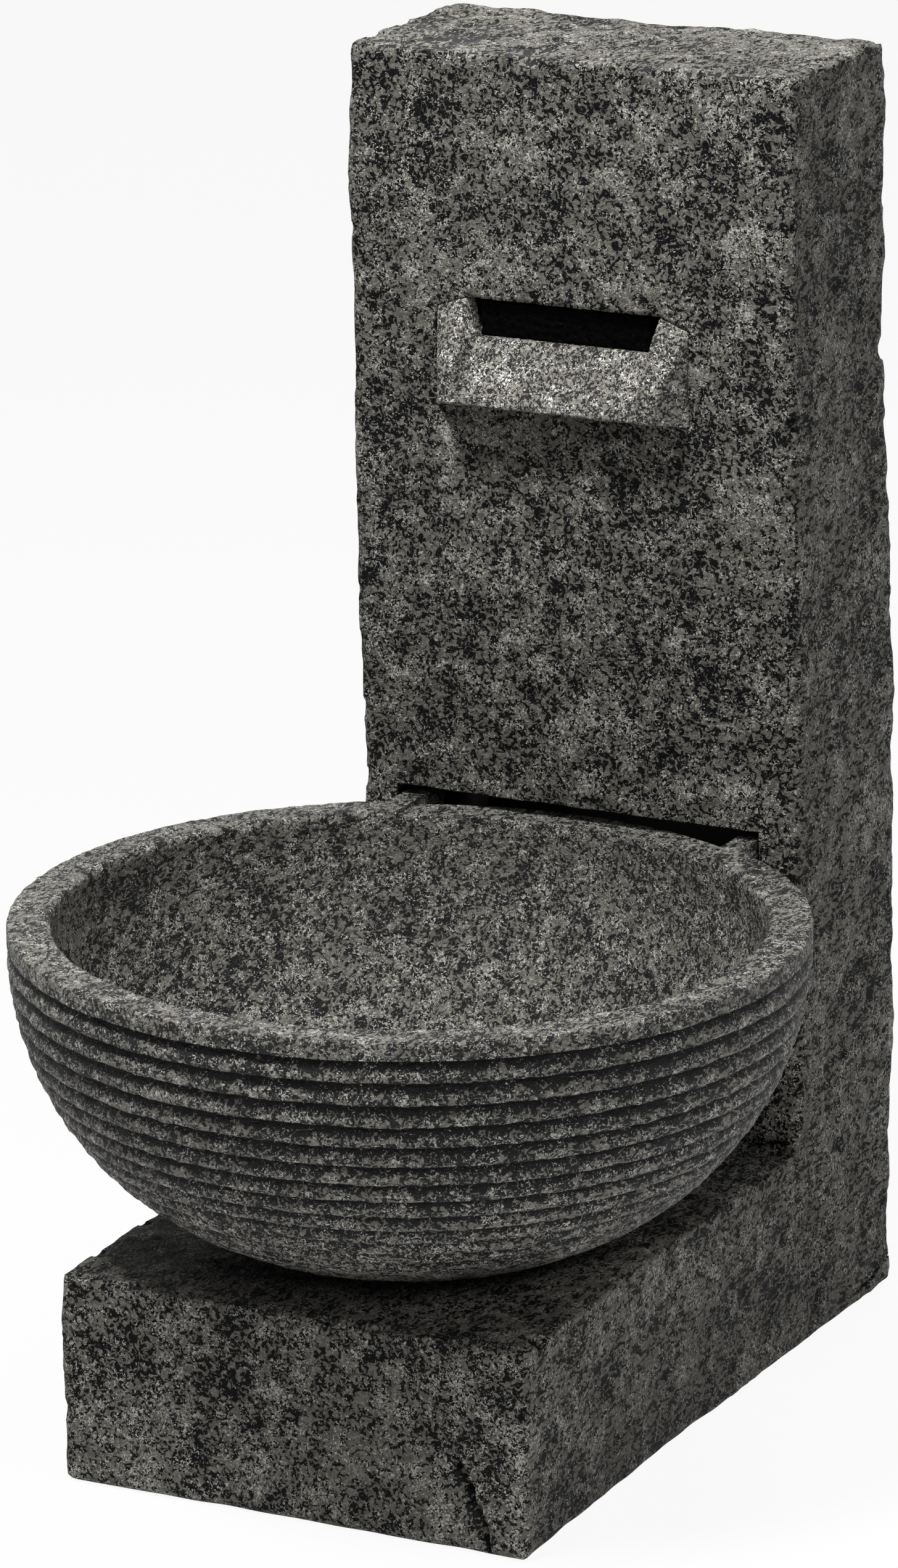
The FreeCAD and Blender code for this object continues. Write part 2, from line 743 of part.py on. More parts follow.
def spoutBody():
    body = newBody("spout")
    lip = bothSides([("lipCheekHalf", "lipFloor - lipThickness"),
                     ("lipCheekHalf", "lipCheekHeight - lipCheekEdge"),
                     ("lipTopHalf", "lipCheekHeight")])
    lofted(body, "chute", "AdditiveLoft", [("wallFace", spoutSection("0")), ("spoutFront", lip)])
    prism(body, "wall_block", "XZ", ("wallFace", "wallInside + castGap"), [spoutSection("0")])
    prism(body, "flange", "XZ", ("wallInside + castGap", "flangeBack"), [flangeOutline()])
    throat = [("throatFloorHalf", "throatFloor"), ("throatTopHalf", "throatTop")]
    lipWater = bothSides([("lipHalf", "lipFloor"), ("lipTopHalf", "lipFloor + throatHeight")])
    lofted(body, "trough", "SubtractiveLoft", [("wallFace", bothSides(throat)), ("spoutFront", lipWater)])
    openThroat = bothSides(throat + [("throatTopHalf", "throatTop + past")])
    prism(body, "throat", "XZ", ("wallFace - castGap", "flangeBack + past"), [openThroat], pocket=True)
    holes = [(x, z, "screwHole") for x, z in weirScrews()]
    prism(body, "flange_holes", "XZ", ("wallInside", "flangeBack + past"), holes, pocket=True)
    return body


# Weir box, its seal and foam

def chuteSpan(half):
    return (f"spoutCentre - ({half})", f"spoutCentre + {half}")


def flangeOutline():
    return rectangle(chuteSpan("flangeHalf"), ("flangeLow", "flangeHigh"))


def weirScrewHoles(name, span):
    return [rod(f"{name}_{number}", "y", spot, span, "screwHole")
            for number, spot in enumerate(weirScrews(), start=1)]


def weirSeal():
    outer = box("weir_seal_sheet", chuteSpan("flangeHalf"), ("flangeBack", "weirFront"),
                ("flangeLow", "flangeHigh"))
    through = ("flangeBack - past", "weirFront + past")
    window = box("weir_seal_window", chuteSpan("weirHalf"), through, ("weirLow", "weirHigh"))
    return cut("weir_seal", outer, window, *weirScrewHoles("weir_seal_hole", through))


def weirBox():
    inletSpot = ("weirInletX", "hoseY")
    flange = box("weir_flange", chuteSpan("flangeHalf"), ("weirFront", "weirFlangeBack"),
                 ("flangeLow", "flangeHigh"))
    case = box("weir_case", chuteSpan("weirHalf + plasticWall"), ("weirFront", "weirBack"),
               ("weirBottom", "weirHigh + plasticWall"))
    inlet = rod("weir_inlet", "z", inletSpot, ("inletLow", "weirLow"), "barbRadius")
    room = box("weir_room", chuteSpan("weirHalf"), ("weirFront - past", "weirBack - plasticWall"),
               ("weirLow", "weirHigh"))
    bore = rod("weir_inlet_bore", "z", inletSpot, ("inletLow - past", "weirLow + past"), "barbBore")
    holes = weirScrewHoles("weir_hole", ("weirFront - past", "weirFlangeBack + past"))
    shell = cut("weir_shell", fuse("weir_block", flange, case, inlet), room, bore, *holes)
    shelf = box("weir_shelf", chuteSpan("weirHalf + past"), ("weirFront", "shelfEnd"),
                ("throatFloor - plasticWall", "throatFloor"))
    baffle = box("weir_baffle", chuteSpan("weirHalf + past"), ("shelfEnd - plasticWall", "shelfEnd"),
                 ("weirLow - past", "throatFloor"))
    return fuse("weir_box", shell, shelf, baffle)


def weirFoam():
    return box("weir_foam", chuteSpan("throatFloorHalf - foamGap"), ("wallFace + foamInset", "shelfEnd"),
               ("throatFloor + foamGap", "throatTop - foamHeadroom"))


# Hose from the pump to the weir box, bowed as a cut length of stiff hose stands

def hosePoints():
    lower, upper = value("barbLow"), value("weirBottom")
    start, end = value("pumpX"), value("weirInletX")
    turns = [(start + across * (end - start), lower + rise * (upper - lower)) for rise, across in hoseTurnShares]
    ends = (start, lower + value("hoseEndGap")), (end, upper)
    flat = [ends[0], *turns, ends[1]]
    return [FreeCAD.Vector(x, value("hoseY"), z) for x, z in flat]


def bentPath(points, share=0.45):
    # Straight runs joined by tangent arcs, each as large as its shorter run allows.
    trims, radii = [0.0], []
    for before, here, after in zip(points, points[1:], points[2:]):
        turn = (here - before).getAngle(after - here)
        trim = share * min((here - before).Length, (after - here).Length)
        trims.append(trim)
        radii.append(trim / math.tan(turn / 2))
    trims.append(0.0)
    edges, cursor = [], points[0]
    for index in range(1, len(points)):
        ahead = (points[index] - points[index - 1]).normalize()
        stop = points[index] - ahead * trims[index]
        edges.append(Part.LineSegment(cursor, stop).toShape())
        if index == len(points) - 1:
            break
        onward = (points[index + 1] - points[index]).normalize()
        cursor = points[index] + onward * trims[index]
        inward = (onward - ahead).normalize()
        reach = math.hypot(radii[index - 1], trims[index]) - radii[index - 1]
        edges.append(Part.Arc(stop, points[index] + inward * reach, cursor).toShape())
    return Part.Wire(edges), radii


def riserHose():
    points = hosePoints()
    path, radii = bentPath(points)
    print("hose bend radii", [round(radius, 1) for radius in radii])
    walls = []
    for radius in (value("hoseOuter"), value("hoseInner")):
        section = Part.Wire(Part.Circle(points[0], FreeCAD.Vector(0, 0, 1), radius).toShape())
        walls.append(path.makePipeShell([section], True, False))
    hose = walls[0].cut(walls[1])
    expected = math.pi * (value("hoseOuter") ** 2 - value("hoseInner") ** 2) * path.Length
    print("hose length", round(path.Length, 1), "volume ratio", round(hose.Volume / expected, 4))
    item = doc.addObject("Part::Feature", "riser_hose")
    item.Shape = hose.Solids[0]
    item.Placement = FreeCAD.Placement()
    return item


def hoseClamp(name, x, low):
    # A spring clamp: a band with two ears that are squeezed to open it.
    span = (low, f"{low} + clampLength")
    through = (f"{low} - past", f"{low} + clampLength + past")
    around = (x, "hoseY")
    earEnd = "hoseY - hoseOuter - clampWall - clampEar"
    earHalf = "(clampSplit / 2 + clampWall)"
    band = rod(name + "_band", "z", around, span, "hoseOuter + clampWall + runningGap")
    ears = box(name + "_ears", (f"{x} - {earHalf}", f"{x} + {earHalf}"), (earEnd, "hoseY"), span)
    bore = rod(name + "_bore", "z", around, through, "hoseOuter + runningGap")
    split = box(name + "_split", (f"{x} - clampSplit / 2", f"{x} + clampSplit / 2"),
                (f"{earEnd} - past", "hoseY"),
                through)
    return cut(name, fuse(name + "_blank", band, ears), bore, split)


# Tub under the overflow channel

def reservoirTub():
    body = newBody("reservoir_tub")
    outer = rectangle(("-tubHalf", "tubHalf"), ("tubNear", "tubFar"))
    prism(body, "tub_block", "XY", ("tubGround", "tubTop"), [outer])
    inner = rectangle(("-tubHalf + tubWall", "tubHalf - tubWall"), ("tubNear + tubWall", "tubFar - tubWall"))
    room = prism(body, "tub_room", "XY", ("tubFloor", "tubTop + past"), [inner], pocket=True)
    soft = rounded(body, "tub_inner_corners", room, "tubRound - tubWall",
                   lambda edge: upright(edge) and near(abs(edge.CenterOfMass.x), value("tubHalf - tubWall")))
    rounded(body, "tub_corners", soft, "tubRound",
            lambda edge: upright(edge) and near(abs(edge.CenterOfMass.x), value("tubHalf")))
    lugs = []
    for side in ("", "-"):
        for middle in ("tubNear + lugInset", "tubFar - lugInset"):
            across = sorted((f"{side}(tubHalf - tubWall / 2)", f"{side}(tubHalf + lugReach)"), key=value)
            lugs.append(rectangle(across, (f"{middle} - lugHalf", f"{middle} + lugHalf")))
    prism(body, "lugs", "XY", ("lugHeight", "lugTop"), lugs)
    holes = [(x, y, "screwHole") for x, y in tubScrews()]
    prism(body, "lug_holes", "XY", ("lugHeight - past", "lugTop + past"), holes, pocket=True)
    return body


# Back panel, its seal, and the grommet

def panelOutline(margin):
    return rectangle((f"-(openingHalf + rebate - {margin})", f"openingHalf + rebate - {margin}"),
                     (f"openingLow - rebate + {margin}", f"openingHigh + rebate - {margin}"))


def rearPanel():
    body = newBody("rear_panel")
    plate = prism(body, "panel_plate", "XZ", ("panelInside", "panelOutside"), [panelOutline("panelGap")])
    rounded(body, "panel_edges", plate, "panelRound",
            lambda edge: near(edge.CenterOfMass.y, value("panelOutside")))
    grip = rectangle(("-gripHalf", "gripHalf"),
                     ("openingMiddle - gripHeight / 2", "openingMiddle + gripHeight / 2"))
    prism(body, "finger_recess", "XZ", ("panelOutside - gripDepth", "panelOutside + past"), [grip],
          pocket=True)
    shanks = [(x, z, "screwHole") for x, z in panelScrews()]
    prism(body, "screw_holes", "XZ", ("panelInside - past", "panelOutside + past"), shanks, pocket=True)
    heads = [(x, z, "screwHead + partGap") for x, z in panelScrews()]
    prism(body, "head_sinks", "XZ", ("panelOutside - screwHeadLength", "panelOutside + past"), heads,
          pocket=True)
    return body


def panelSeal():
    through = ("ledge - past", "panelInside + past")
    outline = panelOutline("panelSealMargin")
    outer = box("panel_seal_sheet", (outline[0][0], outline[1][0]), ("ledge", "panelInside"),
                (outline[0][1], outline[2][1]))
    window = box("panel_seal_window", ("-(openingHalf + panelSealMargin)", "openingHalf + panelSealMargin"),
                 through,
                 ("openingLow - panelSealMargin", "openingHigh + panelSealMargin"))
    holes = [rod(f"panel_seal_hole_{number}", "y", spot, through, "screwHole")
             for number, spot in enumerate(panelScrews(), start=1)]
    return cut("panel_seal", outer, window, *holes)


def cableGrommet():
    spot = ("grommetX", "grommetHeight")
    inner = "backInside - grommetFlangeWall"
    neck = rod("grommet_neck", "y", spot, (inner, "backPlane"), "grommetGroove")
    flange = rod("grommet_flange", "y", spot, (inner, "backInside"), "grommetFlange")
    bore = rod("grommet_bore", "y", spot, (f"{inner} - past", "backPlane + past"), "grommetBore")
    return cut("cable_grommet", fuse("grommet_blank", neck, flange), bore)


# Pump: sealed motor, volute, rotor and cover

def pumpSpan(half):
    return (f"pumpX - ({half})", f"pumpX + {half}")


def pumpHousing():
    axis = ("pumpX", "pumpAxis")
    case = box("housing_case", pumpSpan("pumpHalf"), ("voluteBack", "caseFar"), ("baseLow", "housingTop"))
    plate = box("housing_base", pumpSpan("pumpHalf"), ("coverNear", "caseFar"), ("baseLow", "baseTop"))
    room = box("housing_room", pumpSpan("pumpHalf - housingWall"), ("voluteBack + housingWall", "housingFar"),
               ("baseTop", "housingTop - housingWall"))
    well = rod("well_wall", "y", axis, ("voluteBack + past", "wellEnd + wellWall"), "wellBore + wellWall")
    wellBore = rod("well_bore", "y", axis, ("voluteBack - past", "wellEnd"), "wellBore")
    glandHole = rod("gland_hole", "z", glandSpot(), ("housingTop - housingWall - past", "housingTop + past"),
                    "glandRadius - glandNeckStep")
    posts = [rod(f"volute_post_{number}", "y", spot, ("voluteBack", "voluteBack + postLength"),
                 "screwRadius + postWall") for number, spot in enumerate(voluteScrews(), start=1)]
    stemHoles = [rod(f"stem_hole_{number}", "z", spot, ("baseLow - past", "baseTop + past"),
                     "cupStem + runningGap")
                 for number, spot in enumerate(cupSpots(), start=1)]
    screwHoles = [rod(f"volute_screw_hole_{number}", "y", spot,
                      ("voluteBack - past", "voluteBack + postLength - postFloor"),
                      "screwRadius + runningGap")
                  for number, spot in enumerate(voluteScrews(), start=1)]
    hollow = cut("housing_shell", fuse("housing_block", case, plate), room)
    whole = fuse("housing_solid", hollow, well, *posts)
    return cut("pump_housing", whole, wellBore, glandHole, *stemHoles, *screwHoles)


def housingBack():
    plate = box("back_plate", pumpSpan("pumpHalf"), ("caseFar", "housingFar"), ("baseLow", "housingTop"))
    plug = box("back_plug", pumpSpan("pumpHalf - housingWall - partGap"),
               ("caseFar - backPlug", "caseFar + past"),
               ("baseTop + partGap", "housingTop - housingWall - partGap"))
    return fuse("housing_back", plate, plug)


def stator():
    # A core of two legs and a crossbar round the rotor's well, with its coil on the crossbar.
    bottom = "pumpAxis - coreBottom"
    through = ("coreNear - past", "coreFar + past")
    block = box("core_block", pumpSpan("coreHalf"), ("coreNear", "coreFar"), (bottom, "coreTop"))
    wellCut = rod("core_well", "y", ("pumpX", "pumpAxis"), through, "wellBore + wellWall + partGap")
    window = box("core_window", pumpSpan("coreHalf - coreLeg"), through, ("pumpAxis", "crossbarLow"))
    mouth = box("core_mouth", pumpSpan("coreMouth"), through, (f"{bottom} - past", "pumpAxis"))
    core = cut("stator_core", block, wellCut, window, mouth)
    coilOuter = box("coil_outer", pumpSpan("coilHalf"), ("coreNear - coilWall", "coreFar + coilWall"),
                    ("crossbarLow - coilWall", "coreTop + coilWall"))
    coilHole = box("coil_hole", pumpSpan("coilHalf + past"), ("coreNear - partGap", "coreFar + partGap"),
                   ("crossbarLow - partGap", "coreTop + partGap"))
    return core, cut("stator_coil", coilOuter, coilHole)


def glandSpot():
    return "pumpX + glandInset", "housingFar - glandInset"


def cableGland():
    low, high = "housingTop - housingWall", "housingTop + glandHeight"
    neck = rod("gland_neck", "z", glandSpot(), (low, "housingTop"),
               "glandRadius - glandNeckStep - runningGap")
    sleeve = cone("gland_sleeve", "z", glandSpot(), ("housingTop", high),
                  ("glandRadius", "glandRadius - glandTaper"))
    bore = rod("gland_bore", "z", glandSpot(), (f"{low} - past", f"{high} + past"), "glandBore")
    return cut("cable_gland", fuse("gland_blank", neck, sleeve), bore)


def voluteScrews():
    for side in ("-", "+"):
        yield f"pumpX {side} earSpread", "pumpAxis"


def pumpVolute():
    axis = ("pumpX", "pumpAxis")
    front = ("voluteNear", "voluteNear + voluteFront")
    ear = ("voluteBack - earWall", "voluteBack")
    drum = rod("volute_drum", "y", axis, ("voluteNear", "voluteBack"), "voluteRadius")
    pipe = rod("volute_pipe", "z", ("pumpX", "hoseY"), ("pumpAxis", "pipeTop"), "outletRadius")
    web = box("volute_web", pumpSpan("earSpread"), ear, ("pumpAxis - earRadius", "pumpAxis + earRadius"))
    chamber = rod("volute_chamber", "y", axis, ("voluteNear + voluteFront", "voluteBack + past"),
                  "voluteRadius - voluteWall")
    pipeBore = rod("volute_pipe_bore", "z", ("pumpX", "hoseY"), ("pumpAxis", "pipeTop + past"), "outletBore")
    intake = rod("volute_intake", "y", axis, ("voluteNear - past", "voluteNear + voluteFront + past"),
                 "intakeRadius")
    ringSeat = tube("ring_seat", "y", axis, ("voluteBack - ringSection * 2", "voluteBack + past"),
                    "ringRadius + ringSection", "ringRadius - ringSection")
    ears, holes = [], []
    for number, spot in enumerate(voluteScrews(), start=1):
        ears.append(rod(f"volute_ear_{number}", "y", spot, ear, "earRadius"))
        holes.append(rod(f"ear_hole_{number}", "y", spot,
                         ("voluteBack - earWall - past", "voluteBack + past"),
                         "screwRadius + runningGap"))
    blank = fuse("volute_blank", drum, pipe, web, *ears)
    hollow = cut("volute_hollow", blank, chamber, pipeBore, intake, ringSeat, *holes)
    hub = rod("spider_hub", "y", axis, ("voluteNear", "voluteNear + bushLength"), "spiderHub")
    level = box("spider_level", pumpSpan("intakeRadius + past"), front,
                ("pumpAxis - spiderSpoke / 2", "pumpAxis + spiderSpoke / 2"))
    plumb = box("spider_plumb", pumpSpan("spiderSpoke / 2"), front,
                ("pumpAxis - intakeRadius - past", "pumpAxis + intakeRadius + past"))
    bushSeat = rod("spider_bore", "y", axis, ("voluteNear - past", "voluteNear + bushLength + past"),
                   "bushRadius")
    return cut("pump_volute", fuse("volute_whole", hollow, hub, level, plumb), bushSeat)


def pumpRing():
    return ring("pump_o_ring", "y", ("pumpX", "pumpAxis"), "voluteBack - ringSection", "ringRadius",
                "ringSection")


def outletAdapter():
    spot = ("pumpX", "hoseY")
    low = "pipeTop - adapterOverlap"
    sleeve = rod("adapter_sleeve", "z", spot, (low, "barbLow"), "outletRadius + adapterWall")
    barb = rod("adapter_barb", "z", spot, ("pipeTop", "barbTop"), "barbRadius")
    socket = rod("adapter_socket", "z", spot, (f"{low} - past", "pipeTop"), "outletRadius + runningGap")
    bore = rod("adapter_bore", "z", spot, ("pipeTop - past", "barbTop + past"), "barbBore")
    return cut("outlet_adapter", fuse("adapter_blank", sleeve, barb), socket, bore)


def pumpShaftAndBushes():
    axis = ("pumpX", "pumpAxis")
    shaft = rod("pump_shaft", "y", axis, ("voluteNear + shaftInset", "wellEnd - shaftInset"), "shaftRadius")
    front = tube("front_bush", "y", axis, ("voluteNear", "voluteNear + bushLength"), "bushRadius",
                 "shaftRadius")
    cup = rod("rear_bush_cup", "y", axis, ("wellEnd - bushLength", "wellEnd"), "bushRadius")
    hole = rod("rear_bush_hole", "y", axis, ("wellEnd - bushLength - past", "wellEnd - shaftInset"),
               "shaftRadius")
    return shaft, front, cut("rear_bush", cup, hole)


def impeller():
    axis = ("pumpX", "pumpAxis")
    through = ("bladeFront - past", "discBack + past")
    disc = rod("impeller_disc", "y", axis, ("discFront", "discBack"), "impellerRadius")
    hub = rod("impeller_hub", "y", axis, ("bladeFront", "discBack"), "impellerHub")
    blades = []
    count = int(value("bladeCount"))
    for number in range(count):
        blade = doc.addObject("Part::Box", f"blade_{number + 1}")
        bind(blade, Length="impellerRadius", Width="discBack - bladeFront - impellerDisc / 2",
             Height="bladeWall")
        blade.Placement.Rotation = FreeCAD.Rotation(FreeCAD.Vector(0, 1, 0), -360 * number / count)
        placeAt(blade, "pumpX", "bladeFront", "pumpAxis")
        blades.append(blade)
    trimmed = doc.addObject("Part::Common", "blades_trimmed")
    trimmed.Base = fuse("impeller_blank", disc, hub, *blades)
    trimmed.Tool = rod("blade_limit", "y", axis, through, "impellerRadius")
    bore = rod("impeller_bore", "y", axis, through, "shaftRadius + runningGap")
    return cut("impeller", trimmed, bore)


def rotorMagnet():
    return tube("rotor_magnet", "y", ("pumpX", "pumpAxis"), ("discBack", "magnetEnd"),
                "magnetRadius", "shaftRadius + runningGap")


def grilleSlots(name, span):
    # The slots of the shutter lie over those of the cover's face.
    slots = []
    for number in range(int(value("slotCount"))):
        middle = f"pumpX + ({number} - (slotCount - 1) / 2) * grillePitch"
        across = (f"{middle} - grilleSlot / 2", f"{middle} + grilleSlot / 2")
        slots.append(box(f"{name}_{number + 1}", across, span, ("grilleLow", "grilleHigh")))
    return slots


def intakeCover():
    block = box("cover_block", pumpSpan("pumpHalf"), ("coverNear", "coverNear + coverLength"),
                ("coverLow", "coverLow + coverHeight"))
    room = box("cover_room", pumpSpan("pumpHalf - coverWall"),
               ("coverNear + coverWall", "coverNear + coverLength + past"),
               ("coverLow + coverWall", "coverLow + coverHeight - coverWall"))
    slots = grilleSlots("cover_slot", ("coverNear - past", "coverNear + coverWall + past"))
    shell = cut("cover_shell", block, room, *slots)
    # A rail stands off the face below and above the slots, and its lip holds the shutter.
    rails = []
    for name, edge, outward in (("lower", "grilleLow", "-"), ("upper", "grilleHigh", "+")):
        foot = f"{edge} {outward} railHeight"
        rail = sorted((foot, f"{foot} {outward} railWall"), key=value)
        lip = sorted((foot, f"{edge} {outward} railHeight / 2"), key=value)
        rails.append(box(f"{name}_rail", pumpSpan("shutterHalf"), ("railFront", "coverNear"), rail))
        rails.append(box(f"{name}_lip", pumpSpan("shutterHalf"), ("railFront", "railFront + railWall"), lip))
    return fuse("intake_cover", shell, *rails)


def flowRegulator():
    plate = box("shutter_plate", pumpSpan("shutterHalf"), ("shutterFront", "shutterBack"),
                ("grilleLow - railHeight + partGap", "grilleHigh + railHeight - partGap"))
    tab = box("shutter_tab", pumpSpan("tabHalf"), ("railFront", "shutterBack"),
              ("grilleLow + tabInset", "grilleHigh - tabInset"))
    slots = grilleSlots("shutter_slot", ("shutterFront - past", "shutterBack + past"))
    return fuse("flow_regulator", cut("shutter_face", plate, *slots), tab)


def cupSpots():
    for side in ("-", "+"):
        for middle in ("coverNear + cupInset", "housingFar - cupInset"):
            yield f"pumpX {side} cupSpread", middle


def suctionCups():
    cups = []
    for number, spot in enumerate(cupSpots(), start=1):
        label = f"suction_cup_{number}"
        skirt = cone(label + "_skirt", "z", spot, ("tubFloor", "baseLow"), ("cupRadius", "cupNeck"))
        hollow = cone(label + "_hollow", "z", spot, ("tubFloor", "tubFloor + cupHeight / 2"),
                      ("cupRadius - cupWall", "cupNeck - cupWall"))
        stem = rod(label + "_stem", "z", spot, ("baseLow - past", "baseTop"), "cupStem")
        cups.append(cut(label, fuse(label + "_blank", skirt, stem), hollow))
    return group("suction_cups", *cups)


# Making the pieces

core, coil = stator()
shaft, frontBush, rearBush = pumpShaftAndBushes()
pieces = [
    stoneBody(),
    bowlBody(),
    bowlPads(),
    spoutBody(),
    weirSeal(),
    weirBox(),
    weirFoam(),
    screwSet("weir_screws", "y", weirScrews(), "weirFlangeBack", "wallInside - insertLength + screwTipGap",
             "+"),
    insertSet("weir_inserts", "y", weirScrews(), ("wallInside - insertLength", "wallInside")),
    riserHose(),
    hoseClamp("hose_clamp_lower", "pumpX", "barbTop - clampFromEnd - clampLength"),
    hoseClamp("hose_clamp_upper", "weirInletX", "inletLow + clampFromEnd"),
    reservoirTub(),
    screwSet("tub_screws", "z", tubScrews(), "lugHeight", "lugTop + insertLength - screwTipGap", "-"),
    insertSet("tub_inserts", "z", tubScrews(), ("lugTop", "lugTop + insertLength")),
    rearPanel(),
    panelSeal(),
    screwSet("panel_screws", "y", panelScrews(), "panelOutside - screwHeadLength",
             "ledge - insertLength + screwTipGap", "+"),
    insertSet("panel_inserts", "y", panelScrews(), ("ledge - insertLength", "ledge")),
    cableGrommet(),
    pumpHousing(),
    housingBack(),
    core,
    coil,
    cableGland(),
    pumpVolute(),
    screwSet("volute_screws", "y", voluteScrews(), "voluteBack - earWall",
             "voluteBack + postLength - postFloor - screwTipGap", "-"),
    pumpRing(),
    outletAdapter(),
    shaft,
    frontBush,
    rearBush,
    impeller(),
    rotorMagnet(),
    intakeCover(),
    flowRegulator(),
    suctionCups(),
]
doc.recompute()


# Checking and writing

def check(item):
    for state in item.State:
        if state in ("Invalid", "Error"):
            raise RuntimeError(f"{item.Label} is {state}")


for item in doc.Objects:
    check(item)
    if item.TypeId in ("PartDesign::Pocket", "PartDesign::Groove", "PartDesign::SubtractiveLoft"):
        before = item.BaseFeature.Shape.Volume
        if item.Shape.Volume > before - tolerance:
            raise RuntimeError(f"{item.Label} takes nothing away")

os.makedirs("parts", exist_ok=True)
for piece in pieces:
    shape = piece.Shape
    if shape.isNull() or not shape.isValid() or not shape.Solids:
        raise RuntimeError(f"{piece.Label} has no valid solid")
    shape.exportStep(f"parts/{piece.Label}.step")
    print(piece.Label, len(shape.Solids), "solid" if len(shape.Solids) == 1 else "solids")
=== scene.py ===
import json
import math
import bmesh
import bpy
import numpy as np
from mathutils import Matrix, Vector, kdtree, noise


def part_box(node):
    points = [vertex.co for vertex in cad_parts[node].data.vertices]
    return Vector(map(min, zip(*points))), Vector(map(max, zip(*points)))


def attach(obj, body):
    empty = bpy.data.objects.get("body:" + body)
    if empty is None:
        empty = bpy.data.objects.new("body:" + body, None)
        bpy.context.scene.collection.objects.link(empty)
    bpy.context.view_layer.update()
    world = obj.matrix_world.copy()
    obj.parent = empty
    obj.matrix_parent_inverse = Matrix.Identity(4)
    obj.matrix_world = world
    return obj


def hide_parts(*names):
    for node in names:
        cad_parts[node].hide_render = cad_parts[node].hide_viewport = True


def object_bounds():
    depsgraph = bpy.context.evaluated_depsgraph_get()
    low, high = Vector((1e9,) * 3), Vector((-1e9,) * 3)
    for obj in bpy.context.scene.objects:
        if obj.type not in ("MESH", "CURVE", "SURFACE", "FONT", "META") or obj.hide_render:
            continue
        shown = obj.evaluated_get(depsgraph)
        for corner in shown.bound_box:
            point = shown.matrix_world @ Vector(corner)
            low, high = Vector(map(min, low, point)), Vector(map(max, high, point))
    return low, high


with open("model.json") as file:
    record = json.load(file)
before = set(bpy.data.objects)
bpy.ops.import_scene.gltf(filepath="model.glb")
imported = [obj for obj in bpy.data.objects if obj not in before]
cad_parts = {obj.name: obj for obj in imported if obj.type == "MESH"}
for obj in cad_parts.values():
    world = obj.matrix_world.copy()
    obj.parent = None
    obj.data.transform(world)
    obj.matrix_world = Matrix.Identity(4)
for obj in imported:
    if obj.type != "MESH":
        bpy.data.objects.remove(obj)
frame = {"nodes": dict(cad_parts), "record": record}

# Garden wall fountain in cast granite: pillar on a plinth, bowl, chute, and the works inside.
# All lengths are metres, in the CAD frame. Angles in settings are degrees.

scene = bpy.context.scene
scene.view_settings.view_transform = "Standard"
nodes = frame["nodes"]
cadLow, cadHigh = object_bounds()
touching = 1e-6


# Small tools

def newPiece(name, vertices, faces):
    mesh = bpy.data.meshes.new(name)
    mesh.from_pydata(vertices, [], faces)
    piece = bpy.data.objects.new(name, mesh)
    scene.collection.objects.link(piece)
    return piece


def scrap(piece):
    mesh = piece.data
    bpy.data.objects.remove(piece)
    bpy.data.meshes.remove(mesh)


def block(low, high):
    corners = [(x, y, z) for x in (low[0], high[0]) for y in (low[1], high[1]) for z in (low[2], high[2])]
    sides = [(0, 1, 3, 2), (4, 6, 7, 5), (0, 4, 5, 1), (2, 3, 7, 6), (0, 2, 6, 4), (1, 5, 7, 3)]
    return newPiece("block", corners, sides)


def cadCopy(name):
    # CAD meshes are loose triangles, so the copy is merged into a closed one.
    form = bmesh.new()
    form.from_mesh(nodes[name].data)
    bmesh.ops.remove_doubles(form, verts=form.verts, dist=2 * touching)
    copy = newPiece(name + "Copy", [], [])
    form.to_mesh(copy.data)
    form.free()
    copy.data.materials.clear()
    return copy


def settle(piece):
    # Modifiers are applied and taken off.
    graph = bpy.context.evaluated_depsgraph_get()
    mesh = bpy.data.meshes.new_from_object(piece.evaluated_get(graph))
    old = piece.data
    piece.modifiers.clear()
    piece.data = mesh
    bpy.data.meshes.remove(old)
    return piece


def combine(piece, tool, how="DIFFERENCE"):
    step = piece.modifiers.new("combine", "BOOLEAN")
    step.operation = how
    step.solver = "MANIFOLD"
    step.object = tool
    settle(piece)
    scrap(tool)
    return piece


def turnOutward(piece):
    form = bmesh.new()
    form.from_mesh(piece.data)
    bmesh.ops.recalc_face_normals(form, faces=form.faces)
    form.to_mesh(piece.data)
    form.free()
    return piece


def placesOf(mesh):
    places = np.empty(len(mesh.vertices) * 3)
    mesh.vertices.foreach_get("co", places)
    return places.reshape(-1, 3)


def movePlaces(mesh, places):
    mesh.vertices.foreach_set("co", places.ravel())
    mesh.update()


def keepValues(mesh, name, values):
    layer = mesh.attributes.get(name) or mesh.attributes.new(name, "FLOAT", "POINT")
    layer.data.foreach_set("value", values.astype(np.float32))


def nearestPlaces(mesh, places):
    # For a mesh that was cut after it was shaped: each point's nearest place and the gap to it.
    tree = kdtree.KDTree(len(places))
    for number, place in enumerate(places.tolist()):
        tree.insert(place, number)
    tree.balance()
    found = [tree.find(place)[1:] for place in placesOf(mesh).tolist()]
    return np.array([number for number, gap in found]), np.array([gap for number, gap in found])


def swell(places, size, seed=0.0):
    # Smooth lumps from -1 to 1, about one per size.
    return np.array([noise.noise(place) for place in (places / size + seed).tolist()])


def dishes(places, size, seed=0.0):
    # Distance to the middle of the nearest dish: 0 in its middle, near 1 at its ridge.
    return np.array([noise.voronoi(place)[0][0] for place in (places / size + seed).tolist()])


def smooth(value, low, high):
    share = np.clip((value - low) / (high - low), 0, 1)
    return share * share * (3 - 2 * share)


def shade(piece, sharpAngle):
    piece.data.shade_smooth()
    piece.data.set_sharp_from_angle(angle=math.radians(sharpAngle))


# Node tools

